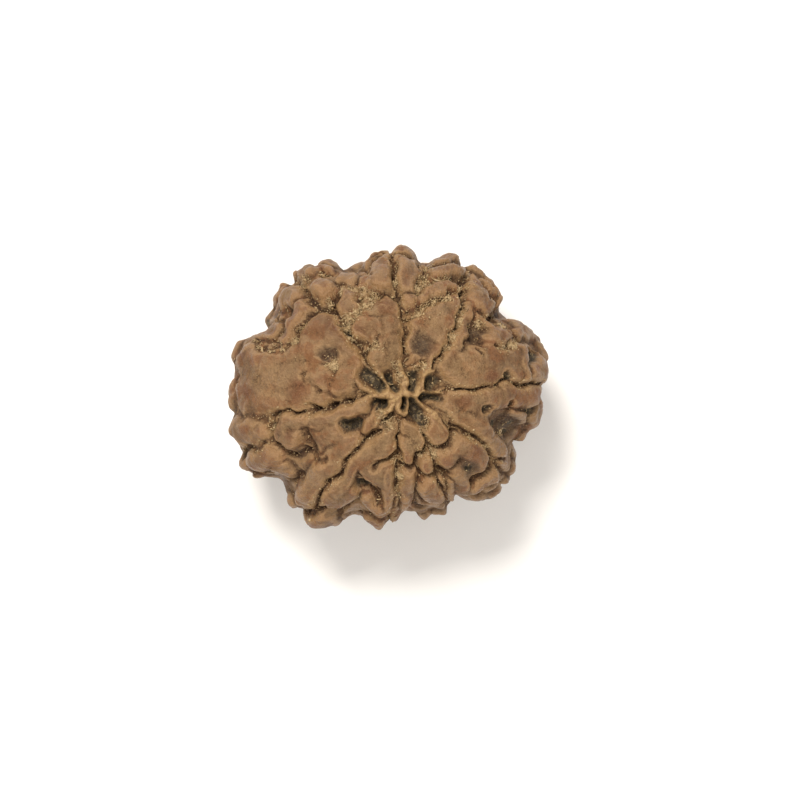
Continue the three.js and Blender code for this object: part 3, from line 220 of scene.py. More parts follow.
# Narrow crevices beside the grooves: half width, depth and places along them
CREVICES = [
    (0.27, 1.25, [(-3.0, -1.15), (-4.2, -1.6), (-5.1, -1.8), (-6.3, -1.95)]),
    (0.3, 0.8, [(1.7, 5.8), (2.6, 6.1), (3.3, 6.7), (4.2, 7.1), (5.1, 7.5), (5.9, 8.1)]),
    (0.25, 0.6, [(3.1, 8.6), (4.0, 8.85), (5.0, 8.95), (6.0, 8.9), (6.6, 9.1)]),
    (0.25, 0.5, [(3.1, 10.3), (3.7, 10.05), (5.4, 10.15), (6.2, 10.4), (6.9, 10.4)]),
    (0.3, 0.7, [(2.5, 7.9), (3.1, 8.6), (3.1, 9.4), (3.0, 10.2), (3.4, 10.9)]),
    (0.14, 0.4, [(0.2, 10.8), (0.9, 11.0), (1.6, 10.9), (2.3, 10.4)]),
    (0.12, 0.35, [(0.2, 11.4), (0.8, 11.6), (1.5, 11.5), (2.1, 11.0)]),
    (0.12, 0.35, [(-1.5, 10.5), (-1.0, 11.0), (-0.3, 11.2), (0.2, 10.9)]),
    (0.35, 0.8, [(-2.4, 7.0), (-2.1, 7.7), (-1.0, 7.8), (0.0, 7.95), (0.8, 7.6)]),
    (0.5, 0.45, [(-3.6, 5.9), (-2.5, 6.4), (-1.7, 6.9), (-1.0, 7.5)]),
    (0.25, 0.75, [(-2.2, 2.9), (-1.7, 3.0), (-1.2, 3.4), (-0.7, 3.8)]),
    (0.18, 0.35, [(-3.5, 10.3), (-2.6, 10.15), (-1.6, 9.8), (-1.4, 9.2)]),
    (0.25, 0.7, [(-4.3, 8.5), (-3.9, 8.2), (-3.0, 8.2), (-2.3, 8.2)]),
    (0.4, 1.0, [(-6.7, 7.8), (-6.3, 7.3), (-5.6, 6.8), (-4.7, 6.8), (-4.3, 7.6)]),
    (0.24, 0.75, [(-5.9, 6.4), (-6.5, 5.9), (-7.0, 5.3), (-7.4, 4.6), (-7.9, 3.8), (-8.3, 3.1)]),
    (0.3, 0.65, [(-8.1, 3.0), (-9.0, 3.05), (-9.8, 3.2), (-10.7, 3.4), (-11.3, 4.0)]),
    (0.22, 0.45, [(-8.4, 5.2), (-8.6, 4.5), (-9.2, 4.1), (-9.8, 3.7)]),
    (0.3, 0.5, [(-11.2, 4.8), (-10.4, 5.1), (-9.6, 5.5), (-8.9, 5.9)]),
    (0.4, 0.85, [(-9.6, -4.8), (-8.9, -5.3), (-8.3, -5.8), (-7.5, -6.0), (-6.9, -5.7)]),
    (0.35, 0.6, [(-6.8, -4.2), (-6.6, -5.0), (-6.4, -5.8), (-5.8, -6.2), (-5.2, -6.0)]),
    (0.3, 0.6, [(-8.4, -7.7), (-7.9, -7.9), (-7.4, -7.4)]),
    (0.3, 0.7, [(-9.4, -7.8), (-8.8, -8.1), (-8.6, -9.2), (-8.9, -10.2)]),
    (0.25, 0.75, [(-1.2, -6.5), (-0.5, -6.2), (0.3, -6.05), (0.8, -5.7)]),
    (0.2, 0.65, [(-1.5, -8.7), (-1.1, -9.2), (-0.8, -9.8)]),
    (0.35, 0.75, [(-4.0, -10.7), (-3.0, -9.9), (-2.1, -9.85), (-0.9, -10.8), (0.4, -10.7)]),
    (0.3, 0.6, [(-7.0, -10.5), (-6.2, -10.7), (-5.0, -10.6), (-4.2, -10.7), (-3.3, -11.1)]),
    (0.3, 0.75, [(1.0, -6.7), (1.8, -6.85), (2.4, -6.5), (2.6, -5.8), (3.2, -5.5)]),
    (0.22, 0.6, [(2.6, -7.0), (2.9, -7.5), (3.5, -7.6), (4.1, -7.4)]),
    (0.3, 0.65, [(2.3, -8.9), (2.8, -9.6), (3.4, -10.05), (4.4, -10.1), (5.5, -10.2)]),
    (0.35, 0.5, [(2.3, -7.2), (2.4, -8.2), (2.2, -9.0), (2.2, -10.2)]),
    (0.28, 0.75, [(3.9, -5.4), (4.7, -5.15), (5.4, -4.6), (5.8, -4.0)]),
    (0.3, 0.8, [(4.3, -6.9), (4.8, -7.3), (5.3, -7.2)]),
    (0.25, 0.65, [(9.0, -6.8), (8.2, -7.5), (7.7, -7.8), (7.2, -8.3)]),
    (0.4, 0.4, [(7.4, -9.0), (8.2, -9.0), (9.2, -8.6)]),
    (0.2, 0.5, [(9.4, -6.0), (10.2, -6.0)]),
    (0.25, 0.55, [(9.5, -7.0), (10.0, -7.2), (10.5, -7.7)]),
    (0.3, 0.7, [(9.5, 3.3), (10.3, 3.4), (10.9, 3.75), (11.1, 4.1)]),
    (0.35, 0.8, [(7.9, 6.2), (8.3, 5.8), (8.9, 5.8), (9.4, 6.2), (9.9, 6.5)]),
    (0.2, 0.4, [(9.2, 5.8), (9.6, 5.3), (9.9, 4.8), (10.6, 4.4)]),
    (0.18, 0.4, [(7.6, 3.0), (8.1, 2.5)]),
    (0.22, 0.4, [(11.95, 3.5), (12.05, 2.4), (11.95, 1.2)]),
    (0.15, 0.35, [(-6.7, 1.2), (-6.8, 0.6), (-6.4, 0.0), (-5.5, -0.4)]),
    (0.15, 0.4, [(-12.65, 1.0), (-12.4, 0.3)]),
]

# Steep pits: radius, depth and places along them
PITS = [
    (0.4, 0.9, [(3.5, -0.95), (4.5, -1.05)]),
    (0.52, 0.9, [(2.35, -1.4), (2.7, -2.4)]),
    (0.4, 0.7, [(2.9, -2.8), (3.1, -3.3)]),
    (0.3, 0.9, [(1.47, -1.35), (1.42, -1.85)]),
    (0.45, 0.5, [(0.35, -2.6), (0.0, -3.2)]),
    (0.38, 0.9, [(-1.1, -1.5), (-0.05, -1.45), (-0.6, -1.9)]),
    (0.55, 0.75, [(-1.95, 1.3), (-0.6, -0.1)]),
    (0.45, 0.75, [(0.05, 0.75), (0.95, -0.35)]),
    (0.48, 0.75, [(2.45, 1.0), (2.3, 0.0)]),
    (0.58, 0.75, [(4.25, 0.6), (4.1, 0.3)]),
    (0.6, 0.8, [(-3.5, -3.25), (-2.75, -3.35)]),
    (0.32, 0.9, [(-3.45, 4.7)]),
    (0.3, 0.8, [(-3.8, 5.4)]),
    (0.35, 0.6, [(-5.5, 9.4), (-5.1, 9.6)]),
    (0.3, 0.7, [(-9.8, 6.8)]),
    (0.25, 0.7, [(-9.4, 6.6)]),
    (0.25, 0.7, [(-9.9, 6.3)]),
    (0.3, 0.8, [(-9.5, 6.0)]),
    (0.42, 0.9, [(-8.45, 6.4)]),
    (0.35, 0.6, [(-10.2, 5.5)]),
    (0.35, 0.7, [(-9.2, 5.7)]),
    (0.4, 0.6, [(8.5, -1.9)]),
    (0.36, 0.5, [(10.4, -1.3)]),
    (0.5, 0.7, [(12.2, -2.0), (12.1, -2.4)]),
    (0.4, 0.75, [(9.6, -3.2)]),
    (0.35, 0.9, [(10.4, -3.9), (10.7, -4.0)]),
    (0.3, 0.8, [(11.1, -3.3)]),
    (0.5, 0.95, [(12.2, 2.4), (12.6, 2.9)]),
    (0.3, 0.9, [(9.9, 0.95), (10.3, 0.7)]),
    (0.4, 0.7, [(6.8, -6.9)]),
    (0.45, 0.95, [(-2.4, -8.4), (-1.6, -8.3)]),
    (0.55, 0.45, [(2.6, -10.5), (2.9, -10.6)]),
    (0.35, 0.6, [(-2.3, -10.6)]),
    (0.4, 0.35, [(9.2, 7.9)]),
    (0.32, 0.8, [(8.75, 7.35)]),
    (0.3, 0.7, [(9.3, 6.3)]),
    (0.3, 0.45, [(-12.2, -5.4), (-12.2, -5.8)]),
    (0.4, 0.5, [(-10.6, -7.4), (-10.1, -7.4)]),
    (0.3, 0.6, [(-10.0, -3.3)]),
    (0.3, 0.5, [(-13.2, -2.7)]),
]

# Shallow hollows with soft sides, the same way
SOFT_HOLLOWS = [
    (0.6, 0.6, [(-5.3, 2.6), (-4.8, 2.7)]),
    (1.15, 0.75, [(10.0, -3.3), (11.0, -3.8)]),
    (1.0, 0.5, [(7.4, 4.9), (7.5, 4.3)]),
    (1.0, 0.45, [(2.9, 3.3), (3.0, 4.0)]),
    (0.9, 0.5, [(6.0, -6.4), (7.0, -6.9)]),
]

# The ribs of the star between its pockets: radius and places along them
RIBS = [
    (0.29, [(1.2, -0.9), (0.2, -0.7), (-0.9, -0.6), (-1.6, -0.45), (-2.1, -0.1), (-2.4, 0.5)]),
    (0.29, [(0.9, -0.9), (-0.5, -0.85), (-1.6, -0.95), (-2.55, -1.3), (-3.5, -1.8)]),
    (0.33, [(1.0, -0.85), (0.2, -0.5), (-0.2, 0.1), (-0.7, 1.0), (-1.1, 1.5), (-1.8, 2.2)]),
    (0.3, [(1.6, -0.8), (1.7, -0.2), (1.6, 0.5), (1.4, 1.4), (1.1, 2.3)]),
    (0.4, [(2.0, -0.75), (2.8, -0.2), (3.3, 0.4), (3.65, 1.2), (3.85, 1.9)]),
    (0.24, [(1.7, -0.8), (2.4, -0.75), (3.0, -0.52), (4.0, -0.44), (4.8, -0.4)]),
    (0.3, [(2.1, -0.9), (2.7, -1.05), (3.2, -1.6), (3.85, -2.3), (4.4, -3.0)]),
    (0.24, [(1.9, -0.9), (2.0, -1.5), (1.85, -2.1), (1.5, -2.4), (1.2, -2.3)]),
    (0.24, [(1.3, -0.95), (1.0, -1.3), (0.95, -1.9), (1.2, -2.3)]),
    (0.33, [(1.1, -1.0), (0.6, -1.3), (0.3, -1.9), (-0.4, -2.5), (-1.4, -3.5)]),
    (0.36, [(1.0, -0.85), (1.6, -0.75), (2.2, -0.7)]),
]

# Where a groove is grown over: x, y and radius
FILLED = [(-7.5, 8.8, 1.0), (0.4, -11.0, 1.0), (-10.9, -5.1, 1.2), (4.9, -9.3, 0.8), (1.4, 2.6, 0.4)]

# Where the shell is stained red or grey, is lighter or darker, or holds dry fibre: x, y and radius
RED_SPOTS = [
    (-2.4, 5.0, 0.8), (-0.2, 6.6, 0.9), (8.8, 0.8, 0.9), (7.2, -5.3, 0.9), (8.2, -3.7, 0.6),
    (0.1, -8.1, 0.6), (-5.6, 8.1, 1.1), (-4.6, 5.2, 0.9), (5.2, 5.4, 0.6), (2.1, 5.0, 0.5),
    (11.4, 2.0, 0.6), (-5.3, -9.5, 0.7), (2.0, 7.1, 0.7), (4.2, 8.3, 0.5), (5.6, 10.8, 0.7),
    (-1.8, -8.9, 0.5), (-8.3, 7.6, 0.7), (-7.4, 6.3, 0.6), (7.6, 8.6, 0.7), (1.6, 8.6, 0.7),
    (-11.6, -0.3, 0.9), (-7.7, -0.1, 1.1), (-5.7, 0.5, 0.8), (-12.1, 2.9, 1.0), (-11.9, -3.6, 1.0),
    (-8.2, -4.0, 0.8), (3.6, -8.8, 0.8), (3.4, -6.5, 0.6), (-0.4, 10.0, 0.6), (1.5, 9.9, 0.6),
    (-10.9, -6.3, 0.8), (9.9, 4.1, 0.7), (12.9, 0.6, 0.7), (6.4, -1.0, 0.8), (-2.2, 1.6, 0.3),
    (-0.3, -11.4, 0.6),
]
GREY_SPOTS = [
    (2.9, 3.5, 1.0), (-5.1, 2.6, 0.9), (-1.0, 3.9, 0.7), (7.5, 4.6, 1.0), (10.6, -3.6, 1.3),
    (-9.5, 6.5, 0.9), (-8.4, 6.4, 0.5), (12.4, 2.5, 0.7), (6.8, -6.8, 0.9), (-2.0, -8.4, 0.7),
    (-7.6, -5.8, 0.9), (-3.1, -3.4, 0.8), (-5.6, 6.7, 0.6), (-3.4, 8.4, 0.5), (12.2, -2.1, 0.7),
    (2.6, -10.5, 0.7), (-5.5, -11.4, 1.0), (8.3, -9.3, 1.0), (4.2, 0.4, 0.8), (2.3, 0.5, 0.8),
    (0.5, 0.2, 0.8), (-1.3, 0.7, 0.9), (-0.6, -1.6, 0.8), (2.6, -2.2, 1.0), (4.0, -1.0, 0.9),
    (0.1, -2.8, 0.8), (-6.1, -4.9, 0.6),
]
# Paler places: partly the shell's own paler tone, partly painted light on lit flanks and ridges
PALE_AND_PAINTED_LIGHT_SPOTS = [
    (-6.2, -7.6, 1.1), (-4.7, -6.3, 0.8), (5.1, -7.9, 0.7), (-10.2, -0.4, 1.2), (-7.3, 1.1, 0.8),
    (7.0, 1.5, 1.2), (7.1, -3.0, 0.8), (-8.4, -9.9, 0.9), (-9.2, -6.4, 0.8), (-0.7, -9.2, 0.6),
    (4.6, -5.3, 0.6), (5.9, 9.4, 0.6), (-9.4, 1.0, 1.7), (-6.6, -1.2, 1.0), (-12.0, -2.1, 0.8),
    (-6.2, -9.9, 0.8), (-2.9, -7.9, 0.7), (8.7, -5.2, 0.8), (5.9, -7.5, 0.8), (8.8, -7.8, 0.9),
    (11.9, -1.6, 0.8), (5.2, -9.9, 0.8),
]
# Darker places: partly dark stains, partly painted shade, most of all over the upper left
DARKER_STAIN_AND_SHADE_SPOTS = [
    (0.1, -3.6, 0.8), (-10.2, 6.5, 0.9), (8.1, 8.0, 0.9), (9.7, 7.7, 0.8), (-3.6, -3.9, 0.7),
    (-4.8, 5.0, 0.9), (-8.4, 6.3, 0.7), (1.6, 8.1, 0.5), (0.2, 4.0, 0.8), (12.2, 2.6, 0.7),
    (10.2, 0.4, 0.6), (-3.3, 6.4, 0.8), (5.3, 2.6, 0.6), (2.2, 6.3, 0.5), (5.3, -0.8, 0.8),
    (-4.1, 3.4, 0.8), (-6.3, 6.0, 0.8), (1.6, -3.3, 0.6), (8.7, -0.7, 0.8), (3.3, 2.8, 0.9),
    (0.5, 5.6, 0.6), (-3.3, 7.9, 0.6), (-5.4, -2.5, 0.6), (-7.6, 5.4, 1.2), (-4.4, 6.4, 1.1),
    (-6.9, 7.7, 0.8), (-4.2, 4.2, 0.9), (-5.6, 4.9, 1.0),
]
FIBRE_PATCHES = [
    (2.6, 6.1, 0.5), (3.4, 6.6, 0.55), (4.2, 7.1, 0.5), (5.1, 7.5, 0.45), (5.9, 8.1, 0.35),
    (-3.3, 6.0, 0.5), (-2.6, 6.3, 0.65), (-1.8, 6.8, 0.65), (-1.1, 7.4, 0.5), (-1.2, 3.2, 0.5),
    (-0.8, 3.6, 0.4), (-4.6, 1.95, 0.42), (-5.1, 1.7, 0.3), (-8.2, 3.0, 0.4), (-9.0, 3.1, 0.35),
    (-9.9, 3.3, 0.4), (-10.8, 3.4, 0.4), (-11.2, 3.8, 0.35), (0.8, 0.9, 0.55), (0.7, 1.7, 0.4),
    (2.5, 1.6, 0.4), (3.0, 1.9, 0.3), (-1.5, 0.9, 0.5), (-0.8, 0.1, 0.4), (4.3, 0.2, 0.35),
    (3.15, -2.9, 0.4), (3.0, -3.6, 0.3), (-0.7, -2.1, 0.35), (0.1, -3.0, 0.5), (9.8, 3.3, 0.4),
    (10.6, 3.7, 0.45), (11.1, 4.0, 0.4), (8.2, 2.6, 0.35), (8.8, 7.3, 0.5), (9.2, 6.4, 0.4),
    (8.4, 5.8, 0.45), (-3.6, 8.3, 0.5), (-2.8, 8.2, 0.5), (-2.0, 8.0, 0.6), (-1.6, 9.3, 0.45),
    (0.5, 9.0, 0.3), (2.9, 9.0, 0.5), (3.4, 9.9, 0.5), (2.6, 8.4, 0.45), (4.2, 9.0, 0.35), (6.2, 8.7, 0.35),
    (6.1, 6.6, 0.4), (6.0, 5.6, 0.4), (5.5, 4.4, 0.35), (5.0, 3.4, 0.3), (2.9, -5.4, 0.4),
    (4.0, -5.6, 0.35), (1.0, -6.4, 0.45), (0.9, -7.6, 0.35), (0.8, -9.0, 0.35), (-3.7, 5.2, 0.4),
    (-3.3, 4.4, 0.35), (-7.2, 4.9, 0.4), (-7.9, 3.8, 0.4), (7.9, 5.6, 0.35), (-5.5, 9.5, 0.35),
    (-7.2, 9.0, 0.5), (-6.5, 10.2, 0.5), (9.7, 5.3, 0.35), (-9.9, -3.4, 0.25), (3.8, 9.5, 0.35),
    (4.6, 9.3, 0.3), (5.3, 9.0, 0.3), (-0.9, 7.9, 0.3), (-5.0, 7.2, 0.3), (-8.7, 4.4, 0.3),
    (7.0, -4.3, 0.3), (8.3, -5.2, 0.3), (10.2, -3.9, 0.5),
]
STAINS = dict(red=RED_SPOTS, grey=GREY_SPOTS, light=PALE_AND_PAINTED_LIGHT_SPOTS, darker_stain_and_shade=DARKER_STAIN_AND_SHADE_SPOTS, fibre=FIBRE_PATCHES)

# Where the grooves meet on the upper and the lower side
UPPER_POLE = (1.6, -0.8)
LOWER_POLE = (-1.5, 0.9)

# The grooves' depth, how far from the pole they start and are cut in full, and their half widths
GROOVE = dict(depth=0.8, start=2.4, full=4.2)
GROOVE_WIDTHS = [0.10, 0.15, 0.12, 0.11, 0.13, 0.13, 0.15, 0.12, 0.16]
# Below the rim, the shares of their way at which they turn, and how far they stray there
BELOW_RIM_STEPS = (0.14, 0.28, 0.42, 0.56, 0.7, 0.83)
BELOW_RIM_SWAY = 0.75
# Routes get a point at least this often, to keep to the curved body
LONGEST_STEP = 1.2
# What is left of a cut's depth on the rim, and how far above and below it that reaches
AT_RIM = dict(share=0.3, band=1.6)

# Between grooves the shell bulges, with a small lip along each groove, and dips at the star
BULGE = dict(base=-0.3, height=0.2, reach=0.9, lip=0.13, lip_reach=0.3, star=0.6)
DIMPLE = dict(depth=0.85, reach=3.4)
# A slow wave in the height of the whole surface, and how far everything on it strays sideways
SWELL = dict(pitch=3.4, size=0.12, phase=5.2)
SWAY = dict(pitch=2.6, size=0.2, phases=(0.3, 1.7, 3.1))
JITTER = ((0.06, 0.7), (0.04, 0.3))

# Raised forms: a widening of all, the usual fullness, how many radii they act over, how softly they join
WIDER = 1.17
FULL = 2.6
OUT_OF_REACH = 1.6
BLEND = 0.09
# Joined forms rise steeply to a step and go on from there at a share of their own height
PLATEAU = dict(step=0.42, soft=0.16, dome=0.55)
# The star's ribs, which fade out at this distance from the pole, and the reach of its paler colour
RIB = dict(h=0.4, full=3, end=4.4, fade=2.0)
STAR_REACH = 4.5
# Beds of dry fibre fill low places by a depth, and take away a share of the crevices
LITTER = dict(depth=0.2, low=0.1, share=0.5)
# Pits have a flat bottom out to this share of their radius
PIT_FLOOR = 0.45
# How many radii crevices, pits and ribs act over
CREVICE_REACH = 3
PIT_REACH = 2.5
RIB_REACH = 3

# The cells of the flanks and the underside, at full height up to one level and faint above another
CELLS = dict(
    count=380, jitter=0.45, stretch=(1.0, 1.8), crease=0.42, height=(0.35, 1.15), dome=0.3, sink=0.55,
    pit_share=0.06, pit_r=0.5, pit_d=1.0, full_below=-3.5, fade_above=0.6, faint=0.1,
)
# The pockets round the lower pole, each beside the groove's point that many steps from its end
LOWER_STAR = dict(near=1.1, far=2.4, varied=(0.85, 1.15), r=0.4, d=1.2, steps_back=5)

# The mesh: how many pieces each edge of its icosahedron is cut into, and its crowding at the star
MESH_FREQUENCY = 96
CROWDING = 0.8
# Crests and thin edges stand above a surface blurred in so many rounds, by a height that counts as 1
CREST = dict(rounds=24, height=0.22)
EDGE = dict(rounds=4, height=0.04)
# Dust lies in low places and near the star, and pale margins run beside the grooves
DUSTY = dict(level=0.25, crest=1.1, star=0.45)
MARGIN = dict(middle=0.32, width=0.2, start=2.5, ramp=2.0)
# Fine grain as height, size and seed, and wrinkles away from the star as depth, size, seed and width
GRAIN = ((0.075, 1.5, 4), (0.035, 0.7, 5))
WRINKLES = ((0.075, 1.2, 8, 0.1), (0.04, 0.65, 9, 0.13))
WRINKLED = dict(start=5.0, ramp=4.0)
DUST_GRAIN = dict(clean=0.008, dusty=0.035, size=0.33, seed=6)
RIB_GRAIN = dict(height=0.05, size=0.24, seed=7)

# Loose husk: number of pieces, their size and its spread, how high they lie, and how often they lie
# in beds of fibre, in other low places and beside the grooves
CRUMBS = dict(count=7500, size=0.055, spread=0.35, heap=0.08, bed=2.4, low=0.06, margin=0.09)
FIBRES = dict(count=1500, size=0.25, spread=0.3, lie=0.06, bed=1.0, low=0.006)
# In shares of their size: how far crumbs reach and how uneven they are, how much threads curl,
# how thick they are and how far they rise, and how much all of them tilt
CRUMB_SHAPE = dict(reach=(0.5, 1.3), uneven=0.2)
FIBRE_SHAPE = dict(curl=(0.5, 2.6), thick=0.16, rise=0.1, rings=7)
TILT = 0.35
# Husk lies where the shell faces up by more than start, and less of it stays in pits
SETTLING = dict(start=0.1, ramp=0.5, lost_in_pits=0.75)
DEBRIS_SEED = 7

# How much brighter the lights make each of the red, green and blue of a surface
BRIGHTNESS = (1.80, 1.84, 1.99)
# The warm square lights, in metres and watts, and the surroundings' light
LIGHTS = dict(
    key_light=dict(place=(-0.05, 0.12, 0.26), size=0.09, power=0.95),
    fill_light=dict(place=(0.04, -0.16, 0.18), size=0.25, power=0.36),
)
LIGHT_COLOUR = (1, 0.95, 0.88)
SURROUNDINGS = dict(colour=(1, 0.97, 0.93, 1), strength=0.48)
FLOOR_HALF = 2000.0
FLOOR_COLOUR = (0.9, 0.9, 0.9, 1)

# The photograph's side, and the stone's width and middle in it, in pixels
PHOTO_SIDE = 800
PHOTO_STONE_WIDTH = 318
PHOTO_STONE_MIDDLE = (388.5, 387.8)
# The camera's sensor and its focal length
SENSOR = 36.0
LENS = 250.0


def mix(a, b, t):
    return a + (b - a) * t


def smooth(t):
    """A ramp from 0 to 1 with soft ends."""
    t = np.clip(t, 0.0, 1.0)
    return t * t * (3 - 2 * t)


def bell(t):
    return np.exp(-t * t)


def length(vectors):
    return np.sqrt(np.einsum("...i,...i", vectors, vectors))


def draw(row, use):
    """A repeatable draw from 0 to 1 for a place in a row and a use of it."""
    value = np.sin((row + 1) * 12.9898 + use * 78.233) * 43758.5453
    return value - np.floor(value)


def noise(points, size, seed=0):
    """Smooth noise from -1 to 1, with features of that size."""
    place = points / size + 31.7 * (seed + 1)
    corner = np.floor(place)
    part = place - corner
    part = part * part * (3 - 2 * part)
    total = np.zeros(len(points))
    for step in itertools.product((0, 1), repeat=3):
        spot = corner + step
        value = np.sin(spot @ (127.1, 311.7, 74.7)) * 43758.5453
        weight = np.prod(np.where(step, part, 1 - part), axis=1)
        total += weight * (value - np.floor(value))
    return 2 * total - 1


def wave(points, pitch, phase):
    """A slow wave over the body, from -1 to 1."""
    k = 2 * math.pi / pitch
    x, y, z = points.T
    return np.sin(k * (0.9 * x + 0.4 * y) + phase + np.sin(0.7 * k * z + 2 * phase)) * np.sin(
        k * (0.8 * y - 0.5 * z) + 2.1 * phase + np.sin(0.6 * k * x + phase)
    )


# The plain body

outline = np.array(OUTLINE)
outline_turn = np.arctan2(outline[:, 1], outline[:, 0])
outline_radius = np.hypot(outline[:, 0], outline[:, 1])


def rim(azimuth):
    """The outline's radius, straight between its points and rounded over a few degrees."""
    near = [np.interp(azimuth + step, outline_turn, outline_radius, period=2 * math.pi)
            for step in (-0.03, -0.015, 0, 0.015, 0.03)]
    return sum(near) / len(near)


def on_body(points):
    """The plain body's points in the directions of these points."""
    points = np.atleast_2d(points)
    way = points / length(points)[:, None]
    across = np.hypot(way[:, 0], way[:, 1])
    azimuth = np.arctan2(way[:, 1], way[:, 0])
    oval = 1 / np.hypot(np.cos(azimuth) / HALF[0], np.sin(azimuth) / HALF[1])
    reach = mix(oval, rim(azimuth) - RELIEF_ROOM, across**3)
    inverse = (across / reach) ** ROUNDNESS + (np.abs(way[:, 2]) / HALF[2]) ** ROUNDNESS
    return way * (inverse ** (-1 / ROUNDNESS))[:, None]


def heading(azimuth, polar):
    """Directions at these angles round the vertical and down from it."""
    return np.stack([np.sin(polar) * np.cos(azimuth), np.sin(polar) * np.sin(azimuth),
                     np.cos(polar) * np.ones_like(azimuth)], axis=-1)


def lift(places, side=1):
    """The plain body's points above places on the plan, or below them when side is -1."""
    places = np.atleast_2d(np.array(places, float))
    azimuth = np.arctan2(places[:, 1], places[:, 0])
    wanted = np.hypot(places[:, 0], places[:, 1])
    low, high = np.zeros(len(places)), np.full(len(places), math.pi / 2)
    for _ in range(30):
        polar = (low + high) / 2
        found = on_body(heading(azimuth, polar))
        short = np.hypot(found[:, 0], found[:, 1]) < wanted
        low, high = np.where(short, polar, low), np.where(short, high, polar)
    way = heading(azimuth, low)
    way[:, 2] *= side
    return on_body(way)


def spots(points, places):
    """How strongly each point lies in one of some round spots, given as x, y and radius."""
    share = np.zeros(len(points))
    middles = lift([place[:2] for place in places])
    for middle, (_, _, r) in zip(middles, places):
        share = np.maximum(share, bell(length(points - middle) / r))
    return share


# Routes over the body

def follow(points):
    """A route with points close enough together to keep to the curved body."""
    route = [points[0]]
    for start, end in zip(points[:-1], points[1:]):
        steps = math.ceil(length(end - start) / LONGEST_STEP)
        route += [on_body(mix(start, end, k / steps))[0] for k in range(1, steps + 1)]
    return np.array(route)


def route_over(places):
    return follow(lift(places))


def nearest_on(route, point):
    """The point of a route that is nearest to a point."""
    best = route[0]
    for start, end in zip(route[:-1], route[1:]):
        along = end - start
        t = np.clip((point - start) @ along / (along @ along), 0, 1)
        place = start + t * along
        if length(point - place) < length(point - best):
            best = place
    return best


def distance_to(route, points, reach):
    """The points within reach of a route, as row numbers, and how far they are from it."""
    inside = ((points > route.min(0) - reach) & (points < route.max(0) + reach)).all(1)
    rows = np.flatnonzero(inside)
    near = points[rows]
    best = np.full(len(rows), np.inf)
    if len(route) == 1:
        return rows, length(near - route[0])
    for start, end in zip(route[:-1], route[1:]):
        along = end - start
        t = np.clip((near - start) @ along / (along @ along), 0, 1)
        best = np.minimum(best, length(near - start - t[:, None] * along))
    return rows, best


upper_pole = lift(UPPER_POLE)[0]
lower_pole = lift(LOWER_POLE, -1)[0]


def way_down(place, number):
    """A groove's way down from the rim to the lower pole."""
    start = lift(place)[0]
    side = np.cross(start, lower_pole)
    side /= length(side)
    points = [start]
    for step, share in enumerate(BELOW_RIM_STEPS):
        sway = BELOW_RIM_SWAY * (2 * draw(number, step) - 1) * math.sin(math.pi * share)
        points.append(on_body(mix(start, lower_pole, share) + sway * side)[0])
    return follow([*points, lower_pole])


def raised_form(r, h, places, full=FULL):
    return dict(r=r, h=h, full=full, route=route_over(places))


def carved_form(r, d, places):
    return dict(r=r, d=d, route=route_over(places))


grooves_above = [route_over(places) for places in GROOVES]
grooves_below = [way_down(places[-1], number) for number, places in enumerate(GROOVES)]
ribs = [raised_form(r, RIB["h"], places, RIB["full"]) for r, places in RIBS]
raised = [raised_form(*row) for row in RAISED] + ribs
crevices = [carved_form(*row) for row in CREVICES]
soft_hollows = [carved_form(*row) for row in SOFT_HOLLOWS]


def lower_pockets():
    """The pockets round the lower pole, one between each two grooves."""
    pockets = []
    for i, groove in enumerate(grooves_below):
        shoulder = groove[-LOWER_STAR["steps_back"]]
        following = grooves_below[(i + 1) % len(grooves_below)]
        away = (nearest_on(groove, shoulder) + nearest_on(following, shoulder)) / 2 - lower_pole
        away /= length(away)
        far = np.array([LOWER_STAR["near"], LOWER_STAR["far"]]) * mix(*LOWER_STAR["varied"], draw(i, 20))
        route = on_body(lower_pole + far[:, None] * away)
        pockets.append(dict(r=LOWER_STAR["r"], d=LOWER_STAR["d"], route=route))
    return pockets


pits = [carved_form(*row) for row in PITS] + lower_pockets()

# The cells, spread evenly over the body and then moved about

GOLDEN_ANGLE = math.pi * (3 - math.sqrt(5))
CELL_SPACE = math.sqrt(4 * math.pi * HALF[0] * HALF[2] / CELLS["count"])
row = np.arange(CELLS["count"])
cell_middle = on_body(heading(row * GOLDEN_ANGLE, np.arccos(1 - 2 * (row + 0.5) / CELLS["count"])))
cell_shift = np.stack([draw(row, use) for use in (1, 2, 3)], axis=1) - 0.5
cell_along = np.cross(np.stack([draw(row, use) for use in (4, 5, 6)], axis=1) - 0.5, cell_middle)
cell_along /= length(cell_along)[:, None]
cell_middle = on_body(cell_middle + 2 * CELLS["jitter"] * CELL_SPACE * cell_shift)
cell_squeeze = 1 - mix(*CELLS["stretch"], draw(row, 7)) ** -2
cell_height = mix(*CELLS["height"], draw(row, 8))
cell_is_pit = draw(row, 9) < CELLS["pit_share"]


def cell_relief(points):
    """Height of the cells: domes of their own heights with creases between them."""
    height = np.zeros(len(points))
    at_once = 4000
    for rows in np.array_split(np.arange(len(points)), max(1, len(points) // at_once)):
        away = points[rows, None, :] - cell_middle[None, :, :]
        along = np.einsum("pci,ci->pc", away, cell_along)
        distance = np.sqrt(np.einsum("pci,pci->pc", away, away) - cell_squeeze * along**2)
        order = np.argpartition(distance, 1, axis=1)[:, :2]
        two = np.take_along_axis(distance, order, axis=1)
        first, second = two.min(1), two.max(1)
        cell = np.where(two[:, 0] <= two[:, 1], order[:, 0], order[:, 1])
        crease = bell((second - first) / CELLS["crease"])
        dome = cell_height[cell] * (1 - CELLS["dome"] * (first / CELL_SPACE) ** 2)
        pit = np.where(cell_is_pit[cell], CELLS["pit_d"] * bell(first / CELLS["pit_r"]), 0)
        height[rows] = (1 - crease) * dome - CELLS["sink"] - pit
    return height


